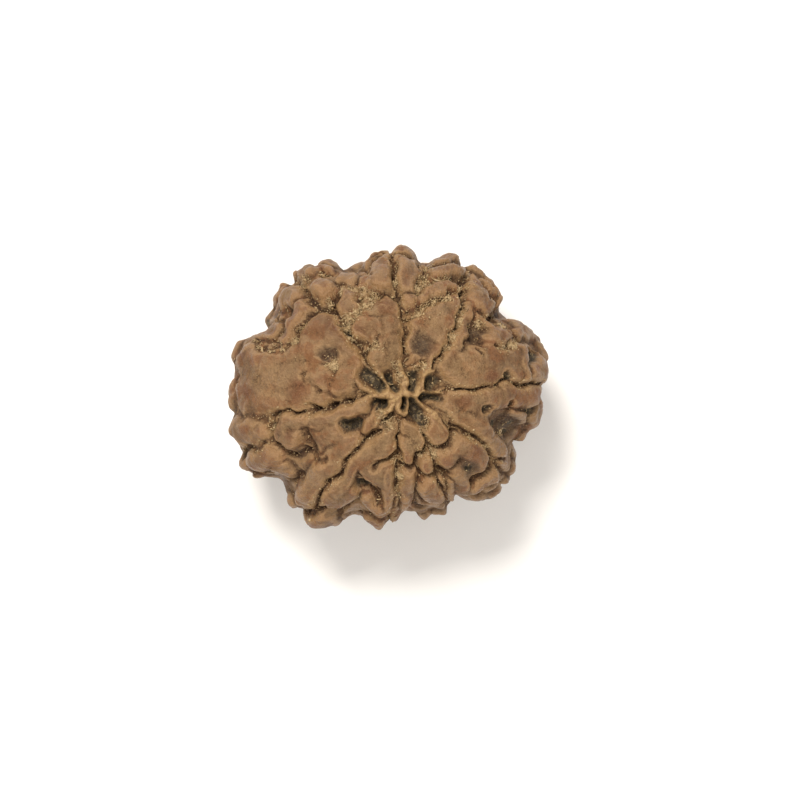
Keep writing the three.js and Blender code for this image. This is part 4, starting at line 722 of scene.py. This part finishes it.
def raised_height(points):
    """How far the raised forms stand up, smoothly joined, with flattened tops."""
    total = np.ones(len(points))
    for form in raised:
        reach = form["r"] * WIDER
        rows, away = distance_to(form["route"], points, OUT_OF_REACH * reach)
        total[rows] += np.exp(form["h"] * (1 - (away / reach) ** form["full"]) / BLEND)
    rise = BLEND * np.log(total)
    return PLATEAU["step"] * (1 - np.exp(-rise / PLATEAU["soft"])) + PLATEAU["dome"] * rise


def strongest(points, forms, reach, profile=bell):
    """The strongest form at each point: its depth, or else 1, by a profile of the distance in radii."""
    found = np.zeros(len(points))
    for form in forms:
        rows, away = distance_to(form["route"], points, reach * form["r"])
        found[rows] = np.maximum(found[rows], form.get("d", 1) * profile(away / form["r"]))
    return found


def steep(away):
    """The profile of a pit with a flat bottom."""
    return 1 - smooth(away - PIT_FLOOR)


def groove_distance(points):
    """How far each point is from the nearest groove, and how far it is into one, from 0 to 1."""
    reach, far = 4.0, 6.0
    near = np.full(len(points), far)
    slit = np.zeros(len(points))
    for route, width in zip(grooves_above + grooves_below, GROOVE_WIDTHS * 2):
        away = np.full(len(points), far)
        rows, found = distance_to(route, points, reach)
        away[rows] = np.minimum(found, far)
        near = np.minimum(near, away)
        slit = np.maximum(slit, bell(away / width))
    return near, slit


def relief(points):
    """Height of the relief over points of the plain body, its height before cuts, and masks."""
    sway = np.stack([wave(points, SWAY["pitch"], phase) for phase in SWAY["phases"]], axis=1)
    swayed = points + SWAY["size"] * sway
    for size, pitch in JITTER:
        swayed += size * np.stack([noise(points, pitch, seed) for seed in (1, 2, 3)], axis=1)
    near, slit = groove_distance(swayed)
    from_pole = length(points - upper_pole)
    opened = smooth((from_pole - GROOVE["start"]) / (GROOVE["full"] - GROOVE["start"]))
    down = smooth((CELLS["fade_above"] - points[:, 2]) / (CELLS["fade_above"] - CELLS["full_below"]))
    cut_share = mix(1, AT_RIM["share"], bell(points[:, 2] / AT_RIM["band"]))

    faces = mix(BULGE["star"], 1 - bell(near / BULGE["reach"]), opened)
    height = BULGE["base"] + BULGE["height"] * faces
    height += BULGE["lip"] * (1 - bell(near / BULGE["lip_reach"]) * cut_share) * opened
    height += SWELL["size"] * wave(points, SWELL["pitch"], SWELL["phase"])
    height += mix(CELLS["faint"], 1, down) * cell_relief(swayed)
    height -= DIMPLE["depth"] * bell(from_pole / DIMPLE["reach"])
    rise = raised_height(swayed)
    litter = spots(points, FIBRE_PATCHES)
    height += LITTER["depth"] * litter * np.exp(-rise / LITTER["low"])
    uncut = height + rise

    groove = opened * GROOVE["depth"] * slit
    for middle, (_, _, r) in zip(lift([place[:2] for place in FILLED]), FILLED):
        groove *= 1 - bell(length(points - middle) / r)
    crevice = np.maximum(groove, strongest(swayed, crevices, CREVICE_REACH))
    crevice *= 1 - LITTER["share"] * litter
    pit = strongest(swayed, pits, PIT_REACH, steep)
    hollow = strongest(swayed, soft_hollows, PIT_REACH)
    height = uncut - np.maximum(np.maximum(crevice, pit), hollow) * cut_share

    rib = strongest(swayed, ribs, RIB_REACH) * smooth((RIB["end"] - from_pole) / RIB["fade"])
    star = bell(from_pole / STAR_REACH)
    masks = dict(crevice=crevice, pit=pit, hollow=hollow, rib=rib, near=near, star=star)
    return height, uncut, masks


def fitted_trim(azimuth):
    """How far the relief is let out at the rim for its furthest point to lie on the outline."""
    steps = np.linspace(-math.pi, math.pi, 361)[:-1]
    near_the_rim = math.pi * (0.38 + 0.02 * np.arange(13))
    furthest = np.zeros(len(steps))
    for polar in near_the_rim:
        body = on_body(heading(steps, polar))
        furthest = np.maximum(furthest, (length(body) + relief(body)[1]) * math.sin(polar))
    missing = rim(steps) - furthest
    over = range(-4, 5)
    missing = sum(np.roll(missing, shift) for shift in over) / len(over)
    return np.interp(azimuth, steps, missing, period=2 * math.pi)


# The mesh

def geodesic(frequency):
    """An even ball: each edge of an icosahedron is cut into that many pieces."""
    golden = (1 + math.sqrt(5)) / 2
    corners = []
    for a, b in itertools.product((-1, 1), (-golden, golden)):
        corners += [(0, a, b), (a, b, 0), (b, 0, a)]
    corners = np.array(corners, float)
    gaps = length(corners[:, None] - corners[None])
    sides = [trio for trio in itertools.combinations(range(12), 3)
             if all(abs(gaps[i, j] - 2) < 1e-6 for i, j in itertools.combinations(trio, 2))]
    steps = [(i, j) for i in range(frequency + 1) for j in range(frequency + 1 - i)]
    number = {step: k for k, step in enumerate(steps)}
    shares = np.array([(frequency - i - j, i, j) for i, j in steps]) / frequency
    small = []
    for i, j in steps:
        if i + j < frequency:
            small.append((number[i, j], number[i + 1, j], number[i, j + 1]))
        if i + j < frequency - 1:
            small.append((number[i + 1, j], number[i + 1, j + 1], number[i, j + 1]))
    small = np.array(small)
    points, faces = [], []
    for side in sides:
        a, b, c = corners[list(side)]
        turn = np.dot(np.cross(b - a, c - a), a) > 0
        faces.append((small if turn else small[:, ::-1]) + len(steps) * len(points))
        points.append(shares @ corners[list(side)])
    points, faces = np.concatenate(points), np.concatenate(faces)
    points /= length(points)[:, None]
    _, first, merged = np.unique(np.round(points, 6), axis=0, return_index=True, return_inverse=True)
    return points[first], merged.reshape(-1)[faces]


def crowd(ways):
    """Moves the ball's points towards the upper star, by a map that keeps its triangles' shape."""
    pole = upper_pole / length(upper_pole)
    cosine = np.clip(ways @ pole, -1, 1)
    aside = ways - cosine[:, None] * pole
    aside /= np.maximum(length(aside), 1e-9)[:, None]
    turned = 2 * np.arctan(CROWDING * np.tan(np.arccos(cosine) / 2))
    return np.cos(turned)[:, None] * pole + np.sin(turned)[:, None] * aside


def point_normals(points, faces):
    """Normals at the points, each face counting by its area."""
    a, b, c = (points[faces[:, k]] for k in range(3))
    facing = np.cross(b - a, c - a)
    normals = np.zeros_like(points)
    for k in range(3):
        for axis in range(3):
            normals[:, axis] += np.bincount(faces[:, k], facing[:, axis], len(points))
    return normals / length(normals)[:, None]


def blurred(values, faces, rounds):
    """Values at the points, each taken towards the mean of its neighbours' a number of times."""
    start = np.concatenate([faces[:, 0], faces[:, 1], faces[:, 2]])
    end = np.concatenate([faces[:, 1], faces[:, 2], faces[:, 0]])
    count = np.bincount(start, minlength=len(values))
    for _ in range(rounds):
        values = 0.5 * values + 0.5 * np.bincount(start, values[end], len(values)) / count
    return values


def above_surroundings(height, faces, rounds, height_for_one):
    """How far each point stands above its surroundings, from -1 in a hollow to 1 on a crest."""
    return np.clip((height - blurred(height, faces, rounds)) / height_for_one, -1, 1)


def fine_grain(points, masks):
    """Height of the grain and wrinkles, with more in the dusty low places and on the ribs."""
    grain = sum(size * noise(points, pitch, seed) for size, pitch, seed in GRAIN)
    wrinkled = smooth((length(points - upper_pole) - WRINKLED["start"]) / WRINKLED["ramp"])
    for depth, pitch, seed, width in WRINKLES:
        grain -= depth * wrinkled * bell(noise(points, pitch, seed) / width)
    dust = mix(DUST_GRAIN["clean"], DUST_GRAIN["dusty"], masks["dusty"])
    grain += dust * noise(points, DUST_GRAIN["size"], DUST_GRAIN["seed"])
    grain += RIB_GRAIN["height"] * masks["rib"] * noise(points, RIB_GRAIN["size"], RIB_GRAIN["seed"])
    return grain


def stone_mesh():
    """Points, faces and masks of the stone, in millimetres, standing on z = 0."""
    ways, faces = geodesic(MESH_FREQUENCY)
    body = on_body(crowd(ways))
    height, _, masks = relief(body)
    way = body / length(body)[:, None]
    across = np.hypot(way[:, 0], way[:, 1])
    trim = fitted_trim(np.arctan2(way[:, 1], way[:, 0]))
    points = way * (length(body) + height + trim * across**4)[:, None]

    masks["crest"] = above_surroundings(height, faces, CREST["rounds"], CREST["height"])
    masks["edge"] = above_surroundings(height, faces, EDGE["rounds"], EDGE["height"])
    dust = DUSTY["level"] - DUSTY["crest"] * masks["crest"] + DUSTY["star"] * masks["star"]
    masks["dusty"] = np.clip(dust, 0, 1)
    points = points + point_normals(points, faces) * fine_grain(points, masks)[:, None]
    middle = (points.max(0) + points.min(0)) / 2
    points -= (middle[0], middle[1], 0)
    for name, places in STAINS.items():
        masks[name] = spots(points, places)
    beside_groove = bell((masks["near"] - MARGIN["middle"]) / MARGIN["width"])
    off_star = smooth((length(points - upper_pole) - MARGIN["start"]) / MARGIN["ramp"])
    masks["margin"] = beside_groove * off_star
    points[:, 2] = np.maximum(points[:, 2] - RESTING_LEVEL, 0)
    return points, faces, masks


def make_object(name, points, faces, material, attributes):
    mesh = bpy.data.meshes.new(name)
    mesh.from_pydata((points * MM).tolist(), [], faces.tolist())
    for key, values in attributes.items():
        layer = mesh.attributes.new(key, "FLOAT", "POINT")
        layer.data.foreach_set("value", values.astype(np.float32))
    mesh.materials.append(material)
    mesh.shade_smooth()
    made = bpy.data.objects.new(name, mesh)
    bpy.context.scene.collection.objects.link(made)
    return made


# The materials

class Nodes:
    """Short calls for building a material's node tree."""

    def __init__(self, name):
        self.material = bpy.data.materials.new(name)
        self.material.use_nodes = True
        self.tree = self.material.node_tree
        self.tree.nodes.clear()

    def add(self, kind, **settings):
        node = self.tree.nodes.new(kind)
        for key, value in settings.items():
            setattr(node, key, value)
        return node

    def link(self, source, target):
        """Joins a socket to another, or sets a plain value on it."""
        if isinstance(source, bpy.types.NodeSocket):
            self.tree.links.new(source, target)
        else:
            target.default_value = source

    def place(self):
        return self.add("ShaderNodeTexCoord").outputs["Object"]

    def attribute(self, name):
        return self.add("ShaderNodeAttribute", attribute_name=name).outputs["Fac"]

    def noise(self, where, scale, detail=3.0, rough=0.55):
        node = self.add("ShaderNodeTexNoise")
        self.link(where, node.inputs["Vector"])
        node.inputs["Scale"].default_value = scale
        node.inputs["Detail"].default_value = detail
        node.inputs["Roughness"].default_value = rough
        return node.outputs["Fac"]

    def math(self, operation, a, b=0.0):
        node = self.add("ShaderNodeMath", operation=operation)
        self.link(a, node.inputs[0])
        self.link(b, node.inputs[1])
        return node.outputs[0]

    def times(self, a, b):
        return self.math("MULTIPLY", a, b)

    def span(self, value, low, high, to_low=0.0, to_high=1.0):
        """A soft ramp of a value between low and high."""
        node = self.add("ShaderNodeMapRange", interpolation_type="SMOOTHSTEP")
        for key, part in zip(("Value", "From Min", "From Max", "To Min", "To Max"),
                             (value, low, high, to_low, to_high)):
            self.link(part, node.inputs[key])
        return node.outputs["Result"]

    def blend(self, share, a, b):
        node = self.add("ShaderNodeMix", data_type="RGBA", blend_type="MIX")
        self.link(share, node.inputs["Factor"])
        self.link(a, node.inputs[6])
        self.link(b, node.inputs[7])
        return node.outputs[2]

    def surface(self, colour, roughness):
        """The material's shader, joined to its output."""
        shader = self.add("ShaderNodeBsdfPrincipled")
        self.link(colour, shader.inputs["Base Color"])
        self.link(roughness, shader.inputs["Roughness"])
        out = self.add("ShaderNodeOutputMaterial")
        self.link(shader.outputs[0], out.inputs["Surface"])
        return shader


def tint(red, green, blue):
    """A colour seen in the photograph, 0 to 255, as the surface's own colour under these lights."""
    seen = zip((red, green, blue), BRIGHTNESS)
    return tuple(((v / 255 + 0.055) / 1.055) ** 2.4 / brighter for v, brighter in seen) + (1.0,)


KEPT_MASKS = ("crevice", "pit", "hollow", "rib", "crest", "edge", "dusty", "margin", "star",
              "red", "grey", "light", "darker_stain_and_shade", "fibre")


def stone_material():
    """Brown wood in thin layers, each laid where a mask or a noise says."""
    n = Nodes("woody_shell")
    where = n.place()
    broad = n.noise(where, 330, 4, 0.6)
    warmth = n.noise(where, 520, 3, 0.6)
    medium = n.noise(where, 1100, 4, 0.6)
    veins = n.noise(where, 1300, 4, 0.6)
    fine = n.noise(where, 3300, 3, 0.65)
    grain = n.noise(where, 7500, 2, 0.7)
    crevice, pit, hollow, rib, crest, edge, dusty, margin, star, red, grey, light, darker_stain_and_shade, fibre = (
        n.attribute(key) for key in KEPT_MASKS)

    cracks = n.span(n.math("ABSOLUTE", n.math("SUBTRACT", veins, 0.5)), 0.0, 0.035, 1.0, 0.0)
    cracks = n.times(cracks, n.span(dusty, 0.15, 0.8, 0.15, 0.8))
    pale_specks = n.times(n.span(grain, 0.55, 0.7), n.span(dusty, 0.1, 0.9, 0.3, 0.6))
    dark_specks = n.times(n.span(grain, 0.3, 0.46, 0.55, 0.0), n.span(dusty, 0.0, 0.9, 0.5, 0.65))
    golden = n.blend(n.span(fine, 0.4, 0.62), tint(212, 174, 122), tint(168, 130, 88))
    sandy = n.blend(n.span(fine, 0.38, 0.6), tint(150, 116, 77), tint(212, 180, 134))
    # the pits' painted shade, with paler streaks of fibre
    pit_shade_and_streaks = n.blend(n.span(fine, 0.48, 0.6), tint(84, 75, 62), tint(156, 136, 102))
    layers = [
        # the wood's own changes from place to place
        (n.span(medium, 0.40, 0.68, 0.0, 0.65), tint(128, 90, 56)),
        (n.span(warmth, 0.5, 0.6, 0.0, 0.75), tint(150, 97, 56)),
        (n.span(warmth, 0.38, 0.48, 0.6, 0.0), tint(158, 128, 92)),
        (n.span(crest, 0.1, 0.9, 0.0, 0.5), tint(146, 88, 50)),
        # stains, with paler places partly painted light, darker places and the hollows' grey partly painted
        # shade, and the paler star
        (n.times(n.span(red, 0.1, 0.6), n.span(medium, 0.3, 0.6, 1.0, 0.7)), tint(126, 74, 40)),
        # paler places: partly paler shell, partly painted light
        (n.times(light, 0.75), tint(186, 148, 106)),
        # darker places: partly dark stains, partly painted shade
        (n.times(darker_stain_and_shade, 0.6), tint(108, 72, 46)),
        (n.times(n.span(fine, 0.5, 0.7), 0.4), tint(118, 80, 50)),
        (n.times(star, 0.5), tint(172, 137, 90)),
        (n.span(dusty, 0.45, 1.0, 0.0, 0.4), tint(158, 118, 78)),
        (n.times(n.span(grey, 0.1, 0.9), n.span(fine, 0.3, 0.6, 0.95, 0.5)), tint(92, 74, 58)),
        # the soft hollows greyer and darker: partly their own grey, partly painted shade
        (n.span(hollow, 0.05, 0.5, 0.0, 0.55), tint(92, 74, 57)),
        # pale edges, painted shade in fine folds, cracks and specks
        (n.times(margin, n.span(fine, 0.35, 0.6, 0.15, 0.85)), tint(190, 152, 106)),
        (n.span(edge, 0.1, 0.8, 0.0, 0.6), tint(192, 153, 108)),
        # painted shade where the surface lies below its close surroundings
        (n.span(edge, -1.0, -0.3, 0.6, 0.0), tint(96, 62, 39)),
        (cracks, tint(100, 64, 40)),
        (pale_specks, tint(198, 162, 114)),
        (dark_specks, tint(104, 70, 46)),
        # the ribs of the star, painted shade in the crevices, the beds of dry fibre, and painted shade with
        # paler fibre streaks in the pits
        (n.span(rib, 0.15, 0.65, 0.0, 0.85), golden),
        # painted shade: darker the deeper a crevice is
        (n.span(crevice, 0.4, 0.8, 0.0, 0.75), tint(96, 65, 44)),
        (n.span(fibre, 0.25, 0.8, 0.0, 0.8), sandy),
        # painted shade in the pits, with paler streaks of fibre
        (n.span(pit, 0.2, 0.7, 0.0, 0.92), pit_shade_and_streaks),
    ]
    colour = n.blend(n.span(broad, 0.35, 0.65), tint(136, 100, 66), tint(176, 140, 101))
    for share, paint in layers:
        colour = n.blend(share, colour, paint)

    # crests are polished and everything low is dull
    roughness = n.times(n.span(crest, -0.3, 0.6, 0.75, 0.36), n.span(pit, 0.4, 1.0, 1.0, 0.5))
    shader = n.surface(colour, roughness)
    shader.inputs["Specular IOR Level"].default_value = 0.36
    rough_height = n.math("ADD", n.times(medium, 1.2), n.times(fine, 1.0))
    rough_height = n.math("ADD", rough_height, n.times(grain, 0.8))
    rough_height = n.math("SUBTRACT", rough_height, n.times(cracks, 0.6))
    bump = n.add("ShaderNodeBump")
    bump.inputs["Strength"].default_value = 1.0
    bump.inputs["Distance"].default_value = 0.24 * MM
    n.link(n.times(rough_height, n.span(dusty, 0.0, 0.9, 0.55, 1.1)), bump.inputs["Height"])
    n.link(bump.outputs["Normal"], shader.inputs["Normal"])
    return n.material


def debris_material():
    n = Nodes("dry_fibre")
    tone = n.span(n.noise(n.place(), 1800, 2), 0.35, 0.62)
    n.surface(n.blend(tone, tint(176, 140, 97), tint(232, 202, 156)), 0.42)
    return n.material


def floor_material():
    n = Nodes("pale_floor")
    n.surface(FLOOR_COLOUR, 0.9)
    return n.material


# The dry husk that lies on the shell

def crumb_shapes(count, dice):
    """Small irregular lumps: eight-sided solids with corners pushed about."""
    corners = np.array([(1, 0, 0), (-1, 0, 0), (0, 1, 0), (0, -1, 0), (0, 0, 1), (0, 0, -1)], float)
    sides = [(0, 2, 4), (2, 1, 4), (1, 3, 4), (3, 0, 4), (2, 0, 5), (1, 2, 5), (3, 1, 5), (0, 3, 5)]
    shapes = corners * dice.uniform(*CRUMB_SHAPE["reach"], (count, 6, 1))
    shapes += dice.normal(0, CRUMB_SHAPE["uneven"], (count, 6, 3))
    return shapes, np.array(sides)


def fibre_shapes(count, dice):
    """Short bent threads, three-sided, tapering to both ends."""
    rings = FIBRE_SHAPE["rings"]
    t = np.linspace(-1, 1, rings)[None, :, None]
    turn = np.arange(3) * 2 * math.pi / 3
    curl = dice.uniform(*FIBRE_SHAPE["curl"], (count, 1, 1))
    thin = FIBRE_SHAPE["thick"] * np.sqrt(1.05 - t**2)
    along = np.sin(curl * t) / curl * (1 + thin * curl * np.cos(turn))
    aside = (1 - np.cos(curl * t)) / curl - thin * np.cos(curl * t) * np.cos(turn)
    above = FIBRE_SHAPE["rise"] * curl * t + thin * np.sin(turn)
    shapes = np.stack([along, aside, above], axis=3).reshape(count, rings * 3, 3)
    sides = [(0, 2, 1), (rings * 3 - 3, rings * 3 - 2, rings * 3 - 1)]
    for ring in range(rings - 1):
        for k in range(3):
            a, b = ring * 3 + k, ring * 3 + (k + 1) % 3
            sides += [(a, b, b + 3), (a, b + 3, a + 3)]
    return shapes, np.array(sides)


def scatter(points, faces, weight, normals, count, dice):
    """Random places on the faces, as often as their area and weight say, with the normal there."""
    a, b, c = (points[faces[:, k]] for k in range(3))
    area = length(np.cross(b - a, c - a))
    odds = area * weight[faces].mean(axis=1)
    chosen = dice.choice(len(faces), count, p=odds / odds.sum())
    u = np.sqrt(dice.random(count))
    v = dice.random(count)
    shares = np.stack([1 - u, u * (1 - v), u * v], axis=1)
    place = np.einsum("ck,cki->ci", shares, points[faces[chosen]])
    return place, normals[faces[chosen, 0]]


def strewn(shapes, sides, place, up, size, dice):
    """Shapes turned at random, put at places on the shell."""
    count = len(place)
    ahead = np.cross(up, dice.normal(0, 1, (count, 3)))
    ahead /= length(ahead)[:, None]
    up = up + dice.normal(0, TILT, (count, 3))
    up /= length(up)[:, None]
    side = np.cross(up, ahead)
    side /= length(side)[:, None]
    ahead = np.cross(side, up)
    turned = (shapes[..., 0:1] * ahead[:, None] + shapes[..., 1:2] * side[:, None]
              + shapes[..., 2:3] * up[:, None])
    made = place[:, None] + turned * size[:, None, None]
    number = np.arange(count)[:, None, None] * shapes.shape[1]
    return made.reshape(-1, 3), (sides[None] + number).reshape(-1, 3)


def debris_mesh(points, faces, masks):
    """Points and faces of all crumbs and threads: most in the beds of fibre, some in any low place."""
    dice = np.random.default_rng(DEBRIS_SEED)
    normals = point_normals(points, faces)
    fibre = masks["fibre"]
    low = np.clip(-masks["crest"], 0, 1)
    facing_up = smooth((normals[:, 2] - SETTLING["start"]) / SETTLING["ramp"])
    facing_up *= 1 - SETTLING["lost_in_pits"] * smooth(masks["pit"])
    crumb_weight = CRUMBS["bed"] * fibre * (0.5 + low) + CRUMBS["low"] * low**2
    crumb_weight = (crumb_weight + CRUMBS["margin"] * masks["margin"]) * facing_up
    fibre_weight = (FIBRES["bed"] * fibre**2 + FIBRES["low"] * low**2) * facing_up

    count = CRUMBS["count"]
    place, up = scatter(points, faces, crumb_weight, normals, count, dice)
    size = CRUMBS["size"] * np.exp(dice.normal(0, CRUMBS["spread"], count))
    place = place + dice.uniform(0.0, CRUMBS["heap"], (count, 1)) * up
    crumb_points, crumb_faces = strewn(*crumb_shapes(count, dice), place, up, size, dice)

    count = FIBRES["count"]
    place, up = scatter(points, faces, fibre_weight, normals, count, dice)
    size = FIBRES["size"] * np.exp(dice.normal(0, FIBRES["spread"], count))
    place = place + FIBRES["lie"] * up
    fibre_points, fibre_faces = strewn(*fibre_shapes(count, dice), place, up, size, dice)

    made = np.concatenate([crumb_points, fibre_points])
    made[:, 2] = np.maximum(made[:, 2], 0.0)
    return made, np.concatenate([crumb_faces, fibre_faces + len(crumb_points)])


points, faces, masks = stone_mesh()
kept = {key: masks[key] for key in KEPT_MASKS}
stone = make_object("rudraksha_shell", points, faces, stone_material(), kept)
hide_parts("rudraksha_stone")
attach(stone, "root")

debris = make_object("crevice_fibre", *debris_mesh(points, faces, masks), debris_material(), {})
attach(debris, "root")

# The floor, lights and camera

floor_corners = np.array([(-1, -1, 0), (1, -1, 0), (1, 1, 0), (-1, 1, 0)]) * FLOOR_HALF
floor = make_object("floor", floor_corners, np.array([(0, 1, 2, 3)]), floor_material(), {})


def area_light(name, place, size, power):
    """A square light that faces the stone."""
    light = bpy.data.lights.new(name, "AREA")
    light.size = size
    light.energy = power
    light.color = LIGHT_COLOUR
    made = bpy.data.objects.new(name, light)
    made.location = place
    made.rotation_euler = (-made.location).to_track_quat("-Z", "Y").to_euler()
    bpy.context.scene.collection.objects.link(made)


for name, settings in LIGHTS.items():
    area_light(name, **settings)
world = bpy.data.worlds.new("studio")
world.use_nodes = True
background = world.node_tree.nodes["Background"]
background.inputs["Color"].default_value = SURROUNDINGS["colour"]
background.inputs["Strength"].default_value = SURROUNDINGS["strength"]
bpy.context.scene.world = world
bpy.context.scene.view_settings.view_transform = "Standard"

metres_per_pixel = LENGTH_X * MM / PHOTO_STONE_WIDTH
rim_height = -RESTING_LEVEL * MM
distance = metres_per_pixel * PHOTO_SIDE * LENS / SENSOR
camera = bpy.data.objects.new("camera", bpy.data.cameras.new("camera"))
camera.data.sensor_width = SENSOR
camera.data.lens = LENS
camera.data.clip_end = 10
camera.location = (
    (PHOTO_SIDE / 2 - PHOTO_STONE_MIDDLE[0]) * metres_per_pixel,
    (PHOTO_STONE_MIDDLE[1] - PHOTO_SIDE / 2) * metres_per_pixel,
    rim_height + distance,
)
bpy.context.scene.collection.objects.link(camera)
bpy.context.scene.camera = camera
